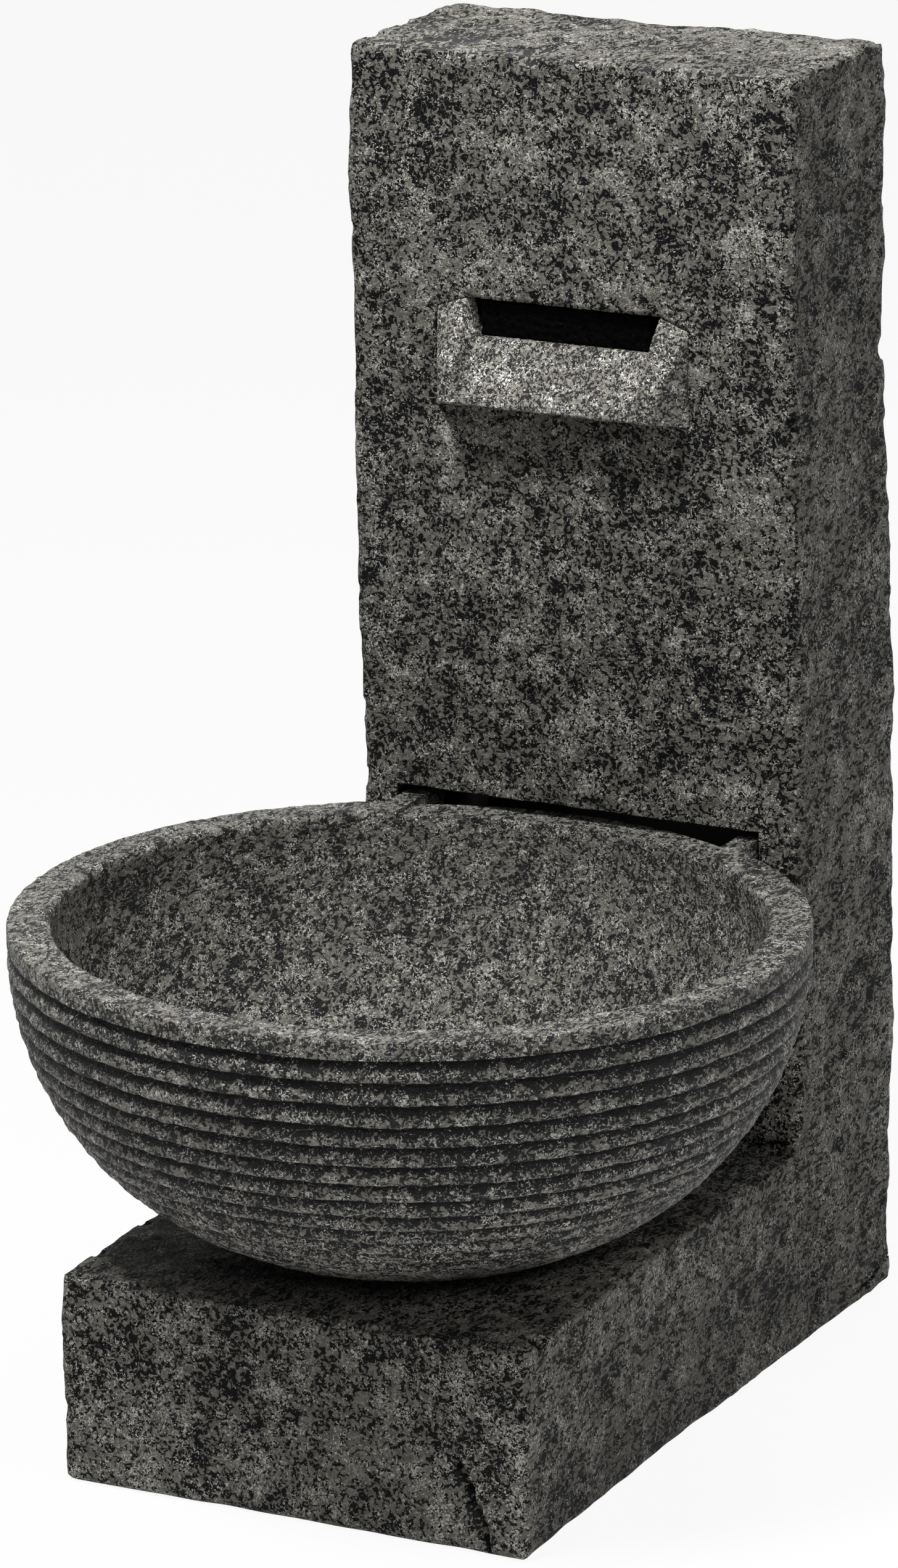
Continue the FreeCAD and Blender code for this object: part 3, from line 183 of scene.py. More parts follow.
def addNode(tree, kind, sockets=None, **settings):
    node = tree.nodes.new(kind)
    for setting, value in settings.items():
        setattr(node, setting, value)
    for socket, value in (sockets or {}).items():
        if isinstance(value, bpy.types.NodeSocket):
            tree.links.new(value, node.inputs[socket])
        else:
            node.inputs[socket].default_value = value
    return node


def mathNode(tree, operation, first, second=0.0, third=0.0):
    return addNode(tree, "ShaderNodeMath", {0: first, 1: second, 2: third}, operation=operation).outputs[0]


def mixColour(tree, share, first, second, blend="MIX"):
    return addNode(tree, "ShaderNodeMix", {"Factor": share, "A": first, "B": second},
                   data_type="RGBA", blend_type=blend).outputs["Result"]


def stepUp(tree, value, low, high, atLow=0.0, atHigh=1.0):
    return addNode(tree, "ShaderNodeMapRange", {"Value": value, "From Min": low, "From Max": high,
                   "To Min": atLow, "To Max": atHigh}, interpolation_type="SMOOTHSTEP").outputs["Result"]


def paint(red, green, blue):
    # A colour as a picture shows it, 0 to 255, turned into light.
    def light(level):
        level = level / 255
        return level / 12.92 if level <= 0.04045 else ((level + 0.055) / 1.055) ** 2.4
    return (light(red), light(green), light(blue), 1.0)


def sockets(group, way, *rows):
    for name, kind, value in rows:
        socket = group.interface.new_socket(name, in_out=way, socket_type="NodeSocket" + kind)
        if value is not None:
            socket.default_value = value


surfaceOutputs = [("Color", "Color", None), ("Roughness", "Float", None), ("Height", "Float", None)]


def blankMaterial(name):
    finish = bpy.data.materials.new(name)
    finish.use_nodes = True
    finish.node_tree.nodes.clear()
    return finish, finish.node_tree


# Camera, at the photograph's place

camera = {"azimuth": 25.8, "elevation": 16.54, "roll": -0.21, "distance": 4.514,
          "target": (-0.0233, 0.0385, 0.3764), "lens": 172.3, "sensor": 36.0, "clipEnd": 100.0}


def placeCamera():
    turn, lift, roll = (math.radians(camera[name]) for name in ("azimuth", "elevation", "roll"))
    back = Vector((math.sin(turn) * math.cos(lift), -math.cos(turn) * math.cos(lift), math.sin(lift)))
    level = Vector((math.cos(turn), math.sin(turn), 0))
    upright = back.cross(level)
    right = math.cos(roll) * level + math.sin(roll) * upright
    up = math.cos(roll) * upright - math.sin(roll) * level
    eye = bpy.data.objects.new("camera", bpy.data.cameras.new("camera"))
    eye.data.lens = camera["lens"]
    eye.data.sensor_width = camera["sensor"]
    eye.data.clip_end = camera["clipEnd"]
    place = Matrix((right, up, back)).transposed().to_4x4()
    place.translation = Vector(camera["target"]) + back * camera["distance"]
    eye.matrix_world = place
    scene.collection.objects.link(eye)
    scene.camera = eye


# Studio: a pale floor and sky for the camera, a dim surround, and soft lights

studio = {
    "floorSize": 30.0, "floorGlow": 0.93, "floorColour": (0.8, 0.8, 0.8, 1.0),
    "surround": 0.056, "skyGlow": 0.97, "skyColour": (1.0, 1.0, 1.0, 1.0),
    "lights": {
        "key": {"place": (-0.35, -0.85, 2.5), "size": 0.5, "watts": 60.0},
        "fill": {"place": (1.5, -1.8, 1.7), "size": 0.9, "watts": 9.0},
        "gleam": {"place": (2.35, -0.75, 1.8), "size": 0.6, "watts": 9.0},
        "back": {"place": (0.1, 0.7, 2.4), "size": 0.7, "watts": 17.0},
    },
    "lightTarget": (0.0, 0.0, 0.4),
}


def backdropShare(tree):
    # 1 where the camera, a mirror or glass looks at the backdrop, 0 for the light that it gives.
    path = addNode(tree, "ShaderNodeLightPath")
    share = mathNode(tree, "MAXIMUM", path.outputs["Is Camera Ray"], path.outputs["Is Glossy Ray"])
    return mathNode(tree, "MAXIMUM", share, path.outputs["Is Transmission Ray"])


def buildStudio():
    half = studio["floorSize"] / 2
    floor = newPiece("floor", [(-half, -half, 0), (half, -half, 0), (half, half, 0), (-half, half, 0)],
                     [(0, 1, 2, 3)])
    finish, tree = blankMaterial("paleFloor")
    matt = addNode(tree, "ShaderNodeBsdfDiffuse", {"Color": studio["floorColour"]})
    glow = addNode(tree, "ShaderNodeEmission", {"Strength": 1.0})
    share = mathNode(tree, "MULTIPLY", backdropShare(tree), studio["floorGlow"])
    mixed = addNode(tree, "ShaderNodeMixShader", {0: share, 1: matt.outputs[0], 2: glow.outputs[0]})
    addNode(tree, "ShaderNodeOutputMaterial", {"Surface": mixed.outputs[0]})
    floor.data.materials.append(finish)

    world = bpy.data.worlds.new("studio")
    world.use_nodes = True
    scene.world = world
    tree = world.node_tree
    tree.nodes.clear()
    strength = mathNode(tree, "MULTIPLY_ADD", backdropShare(tree), studio["skyGlow"] - studio["surround"],
                        studio["surround"])
    air = addNode(tree, "ShaderNodeBackground", {"Color": studio["skyColour"], "Strength": strength})
    addNode(tree, "ShaderNodeOutputWorld", {"Surface": air.outputs[0]})

    for name, light in studio["lights"].items():
        lamp = bpy.data.lights.new(name, "AREA")
        lamp.shape = "DISK"
        lamp.size = light["size"]
        lamp.energy = light["watts"]
        holder = bpy.data.objects.new(name, lamp)
        holder.location = light["place"]
        away = Vector(light["place"]) - Vector(studio["lightTarget"])
        holder.rotation_euler = away.to_track_quat("Z", "Y").to_euler()
        scene.collection.objects.link(holder)
    print("studio:", len(studio["lights"]), "lights")


# Cast granite: taupe flakes over charcoal, with painted glints, pale specks that stand in for highlights.
# Scales are features per metre.

# The glint colour and glint settings below paint highlights into the stone's colour.
granite = {
    "charcoal": paint(27, 27, 30), "soot": paint(9, 9, 11),
    "taupe": paint(138, 135, 126), "ash": paint(107, 105, 99), "glint": paint(212, 210, 203),
    "drawnOut": (1.0, 0.5, 1.0), "patchRatio": 0.36, "fieldRatio": 0.045, "fieldWeight": 0.6,
    "shareReach": 0.4, "flakeEdge": (0.472, 0.502),
    "fineScale": 1150.0, "sootEdge": (0.38, 0.62), "toneScale": 420.0, "ashEdge": (0.4, 0.6),
    "paintedGlintScale": 620.0, "paintedGlintDensityScale": 80.0, "ridgePaintedGlints": 0.25, "paintedGlintLimit": 0.80, "paintedGlintGain": -0.34,
    "paintedGlintEdge": (-0.01, 0.09),
    "rough": 0.5, "roughGrain": 0.25, "paintedGlintGloss": -0.3,
    "coarseScale": 190.0, "flakeHeight": 0.25, "fineHeight": 0.4, "coarseHeight": 1.1,
    "bump": 0.001, "shine": 0.22,
}


def graniteGroup():
    group = bpy.data.node_groups.new("castGranite", "ShaderNodeTree")
    sockets(group, "INPUT", ("Flake Size", "Float", 0.0036), ("Taupe Share", "Float", 0.5),
            ("Clusters", "Float", 0.25), ("Relief", "Float", 0.0), ("Relief Pull", "Float", 0.1),
            ("Glints", "Float", 0.5), ("Grain Depth", "Float", 1.0), ("Paleness", "Float", 1.0))
    sockets(group, "OUTPUT", *surfaceOutputs)
    given = addNode(group, "NodeGroupInput").outputs
    place = addNode(group, "ShaderNodeTexCoord").outputs["Object"]

    # Flakes lie drawn out from front to back.
    drawn = addNode(group, "ShaderNodeVectorMath", {0: place, 1: granite["drawnOut"]},
                    operation="MULTIPLY").outputs[0]

    def cloud(scale, detail=2.0, rough=0.5, distortion=0.0, where=place):
        return addNode(group, "ShaderNodeTexNoise", {"Vector": where, "Scale": scale, "Detail": detail,
                       "Roughness": rough, "Distortion": distortion}).outputs["Fac"]

    flakeScale = mathNode(group, "DIVIDE", 1.0, given["Flake Size"])
    flakes = cloud(flakeScale, 2.0, 0.6, 1.0, drawn)
    patches = cloud(mathNode(group, "MULTIPLY", flakeScale, granite["patchRatio"]), 2.0, 0.55, 0.4, drawn)
    fields = cloud(mathNode(group, "MULTIPLY", flakeScale, granite["fieldRatio"]), 2.0)
    fields = mathNode(group, "MULTIPLY", mathNode(group, "SUBTRACT", fields, 0.5), granite["fieldWeight"])
    drift = mathNode(group, "ADD", mathNode(group, "SUBTRACT", patches, 0.5), fields)
    reach = granite["shareReach"]
    share = mathNode(group, "MULTIPLY_ADD", given["Taupe Share"], reach, -reach / 2)
    level = mathNode(group, "MULTIPLY_ADD", drift, given["Clusters"], flakes)
    # Low relief pulls the flakes away so that hollows turn charcoal: partly the cast's dark finish in its
    # recesses, partly painted shade in hollows, grooves and the bowl's laps.
    level = mathNode(group, "MULTIPLY_ADD", given["Relief"], given["Relief Pull"], level)
    mask = stepUp(group, mathNode(group, "ADD", level, share), *granite["flakeEdge"])

    fine = cloud(granite["fineScale"], 2.0, 0.6)
    tone = cloud(granite["toneScale"], 3.0, 0.6)
    dark = mixColour(group, stepUp(group, fine, *granite["sootEdge"]), granite["soot"], granite["charcoal"])
    light = mixColour(group, stepUp(group, tone, *granite["ashEdge"]), granite["ash"], granite["taupe"])
    stone = mixColour(group, mask, dark, light)

    # Painted highlights: glints of light painted into the colour as small pale specks, thick where the stone
    # is broken and livelier on its ridges.
    paintedGlintNoise = cloud(granite["paintedGlintScale"], 1.0, 0.5, 1.2)
    paintedGlintDensity = mathNode(group, "MULTIPLY_ADD", given["Relief"], granite["ridgePaintedGlints"],
                      cloud(granite["paintedGlintDensityScale"], 1.0, 0.5))
    limit = mathNode(group, "MULTIPLY_ADD", mathNode(group, "MULTIPLY", paintedGlintDensity, given["Glints"]),
                     granite["paintedGlintGain"], granite["paintedGlintLimit"])
    paintedGlintMask = stepUp(group, mathNode(group, "SUBTRACT", paintedGlintNoise, limit), *granite["paintedGlintEdge"])
    colour = mixColour(group, paintedGlintMask, stone, granite["glint"])
    # Paleness scales the colour and carries painted light: the copies of this stone differ in it where light
    # falls on them differently.
    colour = addNode(group, "ShaderNodeVectorMath", {0: colour, "Scale": given["Paleness"]},
                     operation="SCALE").outputs[0]

    rough = mathNode(group, "MULTIPLY_ADD", fine, granite["roughGrain"], granite["rough"])
    rough = mathNode(group, "MULTIPLY_ADD", paintedGlintMask, granite["paintedGlintGloss"], rough)
    coarse = cloud(granite["coarseScale"], 3.0, 0.6)
    height = mathNode(group, "MULTIPLY", fine, granite["fineHeight"])
    height = mathNode(group, "MULTIPLY_ADD", mask, granite["flakeHeight"], height)
    height = mathNode(group, "MULTIPLY_ADD", coarse, granite["coarseHeight"], height)
    height = mathNode(group, "MULTIPLY", height, given["Grain Depth"])
    addNode(group, "NodeGroupOutput", {"Color": colour, "Roughness": rough, "Height": height})
    return group


def graniteMaterial(name, group, reliefName=None, shine=granite["shine"], **values):
    finish, tree = blankMaterial(name)
    stone = addNode(tree, "ShaderNodeGroup", node_tree=group)
    for socket, value in values.items():
        stone.inputs[socketName(socket)].default_value = value
    if reliefName:
        relief = addNode(tree, "ShaderNodeAttribute", attribute_name=reliefName)
        tree.links.new(relief.outputs["Fac"], stone.inputs["Relief"])
    bump = addNode(tree, "ShaderNodeBump", {"Height": stone.outputs["Height"], "Distance": granite["bump"],
                   "Strength": 1.0})
    surface = addNode(tree, "ShaderNodeBsdfPrincipled", {
        "Base Color": stone.outputs["Color"], "Roughness": stone.outputs["Roughness"],
        "Normal": bump.outputs["Normal"], "Specular IOR Level": shine})
    addNode(tree, "ShaderNodeOutputMaterial", {"Surface": surface.outputs[0]})
    return finish


def socketName(word):
    # flakeSize becomes Flake Size.
    return "".join(" " + letter if letter.isupper() else letter for letter in word).title()


# Stone body: one cast shell with a rock face, hollow inside

stone = {
    "spacing": (0.0034, 0.0036, 0.0034),
    "pillarLow": (-0.1505, 0.1595, 0.0), "plinthLow": (-0.1505, -0.2225, 0.0),
    "high": (0.1505, 0.3015, 0.8), "plinthTop": 0.132, "topHalfWidth": 0.1455,
    "round": 0.006, "roundChange": (0.03, 0.0025),
    "broad": (0.150, 0.0014), "dish": (0.044, 0.0034), "scoop": (0.021, 0.0018),
    "lump": (0.011, 0.0010), "grit": (0.0055, 0.00055),
    "seeds": {"broad": 3.0, "dish": 5.0, "scoop": 7.0, "lump": 9.0, "grit": 13.0, "bend": (11.0, 23.0, 37.0)},
    "bend": (0.03, 0.008), "dishMiddle": 0.45, "scoopWeight": 0.9,
    "calmHalf": 0.15, "calmStrip": (0.006, 0.032), "calmPlinth": 0.3, "calmSide": (0.4, 0.6, 0.02),
    "slotMargin": 0.02,
    "coarseShare": (0.2, 0.8), "fineShare": (0.45, 0.55), "reliefScale": 400,
    "headroom": 0.0030, "footLift": 0.0003, "wallMiddle": 0.0045, "sharpAngle": 40,
    "facing": 0.5, "facingFront": 0.7, "hollowBelow": -0.005, "hollowOverlap": 0.02, "insideMargin": 0.001,
    "chips": {"count": 70, "apart": 0.022, "small": 0.0035, "large": 0.0095, "smallerOften": 2.2,
              "bite": 0.55, "long": 1.7, "short": 1.1, "lumpy": 0.3, "edgeTilt": 0.55, "pick": 90,
              "aboveFoot": 0.004, "beforeBack": 0.297, "seed": 7},
    "gouges": [
        {"path": [(0.1040, -0.2225, 0.0600), (0.1158, -0.2225, 0.0305), (0.1275, -0.2225, 0.0010)],
         "outward": (0, -1, 0), "half": 0.0058, "deep": 0.0100},
        {"path": [(0.1600, 0.3050, 0.0200), (0.1600, 0.2616, 0.0100), (0.1590, 0.2390, 0.0095)],
         "outward": (1, 0, 0), "half": 0.0020, "deep": 0.0060},
        {"path": [(-0.1560, -0.2320, 0.0680), (-0.1540, -0.2240, 0.0670), (-0.1560, -0.2080, 0.0690)],
         "outward": (-0.7, -0.7, 0), "half": 0.0022, "deep": 0.0040},
    ],
    "gougeSteps": 19, "gougeRagged": 0.6, "gougeTaper": 0.6, "gougeSway": 0.35, "gougeProud": 0.006,
    "gougeWander": {"ragged": 0.7, "sway": 0.5}, "gougePick": 900, "gougeBottom": 0.3, "gougeFar": 0.8,
    "gougeShade": 4.0, "gougeShadeFrom": (0.0028, 0.0055),
    "frontOpenings": {"from": (0.1598, 0.1612), "to": (0.145, 0.1665), "low": 0.14},
    "backOpenings": {"from": (0.2975, 0.301), "to": (0.2967, 0.31), "low": 0.008},
    "leftLean": [(0.0, -0.001), (0.10, -0.004), (0.20, 0.004), (0.334, 0.0073), (0.453, 0.0023),
                 (0.593, 0.0), (0.663, -0.0011), (0.709, -0.0045), (0.732, -0.0036), (0.8, -0.003)],
    "rightSwell": [(-0.02, 0.0), (0.055, 0.0025), (0.16, 0.0055), (0.27, 0.009), (0.3015, 0.0095)],
    "swellFade": (0.35, 0.68),
}


def latticeSkin(planes, filled):
    # The outer faces of the filled cells of a lattice, as quads, with the points they use.
    count = [len(line) for line in planes]
    padded = np.pad(filled, 1)
    quads = []
    for axis in range(3):
        second, third = (axis + 1) % 3, (axis + 2) % 3
        turned = np.transpose(padded, (axis, second, third))
        before, after = turned[:-1, 1:-1, 1:-1], turned[1:, 1:-1, 1:-1]
        for outward, found in ((True, before & ~after), (False, after & ~before)):
            plane, row, column = np.nonzero(found)
            around = [(0, 0), (1, 0), (1, 1), (0, 1)]
            corners = []
            for rowStep, columnStep in (around if outward else reversed(around)):
                index = [None, None, None]
                index[axis], index[second], index[third] = plane, row + rowStep, column + columnStep
                corners.append((index[0] * count[1] + index[1]) * count[2] + index[2])
            quads.append(np.stack(corners, 1))
    quads = np.concatenate(quads)
    used, faces = np.unique(quads, return_inverse=True)
    x, y, z = np.unravel_index(used, count)
    places = np.stack([planes[0][x], planes[1][y], planes[2][z]], 1)
    return places, faces.reshape(-1, 4)


def evenSteps(low, high, spacing, through=None):
    if through is not None:
        return np.concatenate([evenSteps(low, through, spacing)[:-1], evenSteps(through, high, spacing)])
    return np.linspace(low, high, max(2, round((high - low) / spacing) + 1))


def roundEdges(places, low, high, radius):
    # Points of a block's skin, moved onto rounded edges, with their outward directions.
    inner = np.clip(places, low + radius, high - radius)
    away = places - inner
    outward = away / np.maximum(np.linalg.norm(away, axis=1, keepdims=True), 1e-9)
    return inner + outward * radius, outward


def stoneSkin():
    xLow, yLow, zLow = stone["plinthLow"]
    xHigh, yHigh, zHigh = stone["high"]
    wall, shelf = stone["pillarLow"][1], stone["plinthTop"]
    planes = [evenSteps(xLow, xHigh, stone["spacing"][0]),
              evenSteps(yLow, yHigh, stone["spacing"][1], wall),
              evenSteps(zLow, zHigh, stone["spacing"][2], shelf)]
    middle = [(line[1:] + line[:-1]) / 2 for line in planes]
    cells = np.ones([len(line) for line in middle], bool)
    cells &= (middle[1][None, :, None] > wall) | (middle[2][None, None, :] < shelf)
    places, faces = latticeSkin(planes, cells)

    y, z = places[:, 1], places[:, 2]
    inPillar = (z > shelf + touching) | (y > wall + touching)
    low = np.where(inPillar[:, None], stone["pillarLow"], stone["plinthLow"])
    high = np.tile(np.array(stone["high"]), (len(places), 1))
    high[~inPillar, 2] = shelf
    low[(z < shelf + touching) & inPillar, 1] = yLow
    low[(z >= shelf - touching) & inPillar, 2] = zLow
    size, change = stone["roundChange"]
    radius = stone["round"] + change * swell(places, size)[:, None]
    rounded, outward = roundEdges(places, low, high, radius)
    seam = (np.abs(y - wall) < touching) & (np.abs(z - shelf) < touching)
    rounded[seam] = places[seam]
    outward[seam] = Vector((0, -1, 1)).normalized()

    reach = np.interp(rounded[:, 2], (0, zHigh), (xHigh, stone["topHalfWidth"])) / xHigh
    lean = np.interp(rounded[:, 2], *zip(*stone["leftLean"]))
    bulge = np.interp(rounded[:, 1], *zip(*stone["rightSwell"]))
    bulge *= 1 - smooth(rounded[:, 2], *stone["swellFade"])
    side = rounded[:, 0] / xHigh
    rounded[:, 0] = rounded[:, 0] * reach + np.where(side < 0, -side * lean, side * bulge)
    return rounded, outward, faces


def rockFace(places, outward):
    # Relief of broken stone, in metres along the outward direction.
    def layer(name, make):
        size, depth = stone[name]
        return make(bent, size, stone["seeds"][name]) * depth

    bendSize, bendDepth = stone["bend"]
    bend = np.stack([swell(places, bendSize, seed) for seed in stone["seeds"]["bend"]], 1)
    bent = places + bend * bendDepth
    broad = layer("broad", swell)
    dish = layer("dish", dishes) - stone["dish"][1] * stone["dishMiddle"]
    scoop = layer("scoop", dishes) - stone["scoop"][1] * stone["dishMiddle"]
    lump = layer("lump", swell)
    grit = layer("grit", swell)

    # Calmer along the pillar's front edges, on the plinth's front and near the pillar's front on its sides.
    wall = stone["pillarLow"][1]
    toEdge = np.minimum(stone["calmHalf"] - np.abs(places[:, 0]), stone["high"][2] - places[:, 2])
    frontFace = outward[:, 1] < -stone["facingFront"]
    onPillar = places[:, 1] > wall - stone["slotMargin"]
    calm, rise, reach = stone["calmSide"]
    strip = np.where(frontFace & onPillar, smooth(toEdge, *stone["calmStrip"]), 1.0)
    strip = np.where(frontFace & ~onPillar, stone["calmPlinth"], strip)
    strip = np.where(~frontFace, smooth(places[:, 1] - wall, 0.0, reach) * rise + calm, strip)
    coarse = broad + dish + scoop * stone["scoopWeight"]
    least, more = stone["coarseShare"]
    leastFine, moreFine = stone["fineShare"]
    lift = coarse * (least + more * strip) + (lump + grit) * (leastFine + moreFine * strip)
    return lift, dish + scoop + lump + grit


def edgeChips(places, outward):
    # Knocked-off flakes: lumps sunk into the edges, kept apart so that none touch.
    chips = stone["chips"]
    onEdge = np.sort(np.abs(outward), 1)[:, 1] > chips["edgeTilt"]
    onEdge &= (places[:, 2] > chips["aboveFoot"]) & (places[:, 1] < chips["beforeBack"])
    spots, ways = places[onEdge], outward[onEdge]
    dice = np.random.default_rng(chips["seed"])
    form = bmesh.new()
    taken = []
    for pick in dice.permutation(len(spots)):
        spot = spots[pick]
        if len(taken) == chips["count"]:
            break
        if any(np.linalg.norm(spot - other) < chips["apart"] for other in taken):
            continue
        taken.append(spot)
        radius = chips["small"] + (chips["large"] - chips["small"]) * dice.random() ** chips["smallerOften"]
        stretch = chips["long"] if radius * chips["long"] * 2 < chips["apart"] else chips["short"]
        along = np.argmin(np.abs(ways[pick]))
        lump = bmesh.ops.create_icosphere(form, subdivisions=2, radius=radius)["verts"]
        middle = spot + ways[pick] * radius * chips["bite"]
        for corner in lump:
            lumpy = noise.noise(corner.co / radius + Vector(spot.tolist()) * chips["pick"])
            corner.co *= 1 + chips["lumpy"] * lumpy
            corner.co[along] *= stretch
            corner.co += Vector(middle.tolist())
    piece = newPiece("edgeChips", [], [])
    form.to_mesh(piece.data)
    form.free()
    return piece


def gougeCutter(gouge):
    # A ragged V-shaped groove along a path, pointed at both ends.
    path = np.array(gouge["path"])
    share = np.linspace(0, 1, stone["gougeSteps"])
    ends = np.linspace(0, 1, len(path))
    middle = np.stack([np.interp(share, ends, path[:, axis]) for axis in range(3)], 1)
    outward = np.array(Vector(gouge["outward"]).normalized())
    aside = np.cross(outward, path[-1] - path[0])
    aside /= np.linalg.norm(aside)
    rings = []
    wander, pick, far = stone["gougeWander"], stone["gougePick"], stone["gougeFar"]
    for number in range(1, len(share) - 1):
        ragged = noise.noise((number * wander["ragged"], gouge["half"] * pick, 0.3))
        ragged = 1 + stone["gougeRagged"] * ragged
        wide = math.sin(math.pi * share[number]) ** stone["gougeTaper"] * ragged
        sway = noise.noise((number * wander["sway"], 4.0, gouge["deep"] * pick))
        sway = stone["gougeSway"] * gouge["half"] * sway
        half, deep = gouge["half"] * wide, gouge["deep"] * wide
        centre, proud = middle[number] + aside * sway, outward * stone["gougeProud"]
        rings.append([centre + aside * half + proud, centre + aside * half,
                      centre + aside * half * stone["gougeBottom"] - outward * deep,
                      centre - aside * half * far, centre - aside * half + proud])
    vertices = [corner for ring in rings for corner in ring] + [middle[0], middle[-1]]
    count, last = len(rings[0]), len(rings) - 1
    faces = [(ring * count + side, ring * count + (side + 1) % count,
              (ring + 1) * count + (side + 1) % count, (ring + 1) * count + side)
             for ring in range(last) for side in range(count)]
    tip = len(rings) * count
    faces += [(tip, (side + 1) % count, side) for side in range(count)]
    faces += [(tip + 1, last * count + side, last * count + (side + 1) % count) for side in range(count)]
    return turnOutward(newPiece("gouge", [tuple(corner) for corner in vertices], faces))


def openingPlugs(through, half, zHigh):
    # The openings through a wall as solids, drawn out so that they pass the rough face.
    low, high = through["from"]
    plugs = combine(block((-half, low, through["low"]), (half, high, zHigh)), cadCopy("stone_body"))
    spots = placesOf(plugs.data)
    spots[:, 1] = np.where(spots[:, 1] < (low + high) / 2, *through["to"])
    movePlaces(plugs.data, spots)
    return plugs


def buildStone(finish, rawFinish):
    places, outward, faces = stoneSkin()
    lift, relief = rockFace(places, outward)
    upOrBack = (outward[:, 2] > stone["facing"]) | (outward[:, 1] > stone["facing"])
    lift -= np.where(upOrBack, stone["headroom"], 0)
    lift = np.where(outward[:, 2] < -stone["facing"], 0, lift)
    shaped = places + outward * lift[:, None]
    shaped[:, 1] = np.minimum(shaped[:, 1], cadHigh[1])
    shaped[:, 2] = np.clip(shaped[:, 2], cadLow[2] + stone["footLift"], cadHigh[2])
    piece = newPiece("stoneShell", shaped.tolist(), faces.tolist())
    combine(piece, edgeChips(shaped, outward))
    for gouge in stone["gouges"]:
        combine(piece, gougeCutter(gouge))

    inset = stone["wallMiddle"]
    half, shelf = stone["topHalfWidth"] - inset, stone["plinthTop"] - inset
    wall, front = stone["pillarLow"][1] + inset, stone["plinthLow"][1] + inset
    yHigh, zHigh = stone["high"][1] - inset, stone["high"][2] - inset
    below = stone["hollowBelow"]
    hollow = block((-half, wall, below), (half, yHigh, zHigh))
    under = block((-half, front, below), (half, wall + stone["hollowOverlap"], shelf))
    combine(hollow, under, "UNION")
    combine(hollow, cadCopy("stone_body"))
    combine(piece, hollow)
    for through in (stone["frontOpenings"], stone["backOpenings"]):
        combine(piece, openingPlugs(through, half, zHigh))

    number, gap = nearestPlaces(piece.data, shaped)
    # Painted shadow: deep in gouges and chips the relief value is lowered, so the flakes there turn charcoal.
    paintedShadow = stone["gougeShade"] * smooth(gap, *stone["gougeShadeFrom"])
    keepValues(piece.data, "relief", relief[number] * stone["reliefScale"] - paintedShadow)
    piece.data.materials.clear()
    piece.data.materials.append(finish)
    piece.data.materials.append(rawFinish)
    margin = stone["insideMargin"]
    for face in piece.data.polygons:
        x, y, z = face.center
        behind = y > wall - margin or (y > front - margin and z < shelf + margin)
        face.material_index = int(behind and abs(x) < half + margin and y < yHigh and z < zHigh + margin)
    shade(piece, stone["sharpAngle"])
    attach(piece, "pillar")
    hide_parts("stone_body")
    print("stone shell:", len(piece.data.polygons), "faces")


# Bowl: a shell turned by Geometry Nodes from its profile, with a channel that reaches into the slot

bowl = {
    "axis": (0.0, -0.0635), "rimRadius": 0.238, "rimTop": 0.326,
    "arc": 0.186, "arcCentre": 0.052, "arcTop": 0.3135, "foot": 0.1323,
    "innerArc": 0.160, "rimEdge": 0.0022, "rimAngles": (45, 90),
    "innerEdge": 0.0035, "innerAngles": (30, 60, 90),
    "laps": 13, "lapPitch": 0.0139, "lapDepth": 0.0052, "lapFadesFrom": 7,
    "lapShape": [(0.0, -1.0), (0.10, -0.94), (0.20, -0.66), (0.31, -0.34), (0.44, -0.13), (0.58, -0.03),
                 (0.70, 0.0), (0.80, -0.02), (0.87, -0.12), (0.91, -0.42), (0.94, -0.86)],
    "segments": 396, "turning": 0.1, "floorPoints": 14, "insidePoints": 56,
    "wobble": (0.013, 0.0012), "grain": (0.0042, 0.0009), "sharpAngle": 45,
    "channel": {"centre": 0.005, "half": 0.106, "wide": 0.1205, "floor": 0.304, "under": 0.296,
                "start": 0.0555, "end": 0.1915},
    "overflow": 0.323, "hollowExtra": 0.001, "cutRise": 0.02, "cutPast": 0.01, "waterSegments": 160,
    "padCircle": 0.066, "padSeat": 0.00905, "padSeatTop": 0.134, "pads": 4, "padSegments": 48,
    "lipSteps": 4, "rimSteps": 8, "sideSteps": 5, "underSteps": 14, "footSteps": 12,
    "lapStart": 0.0015, "lapFadesTo": 0.3,
}


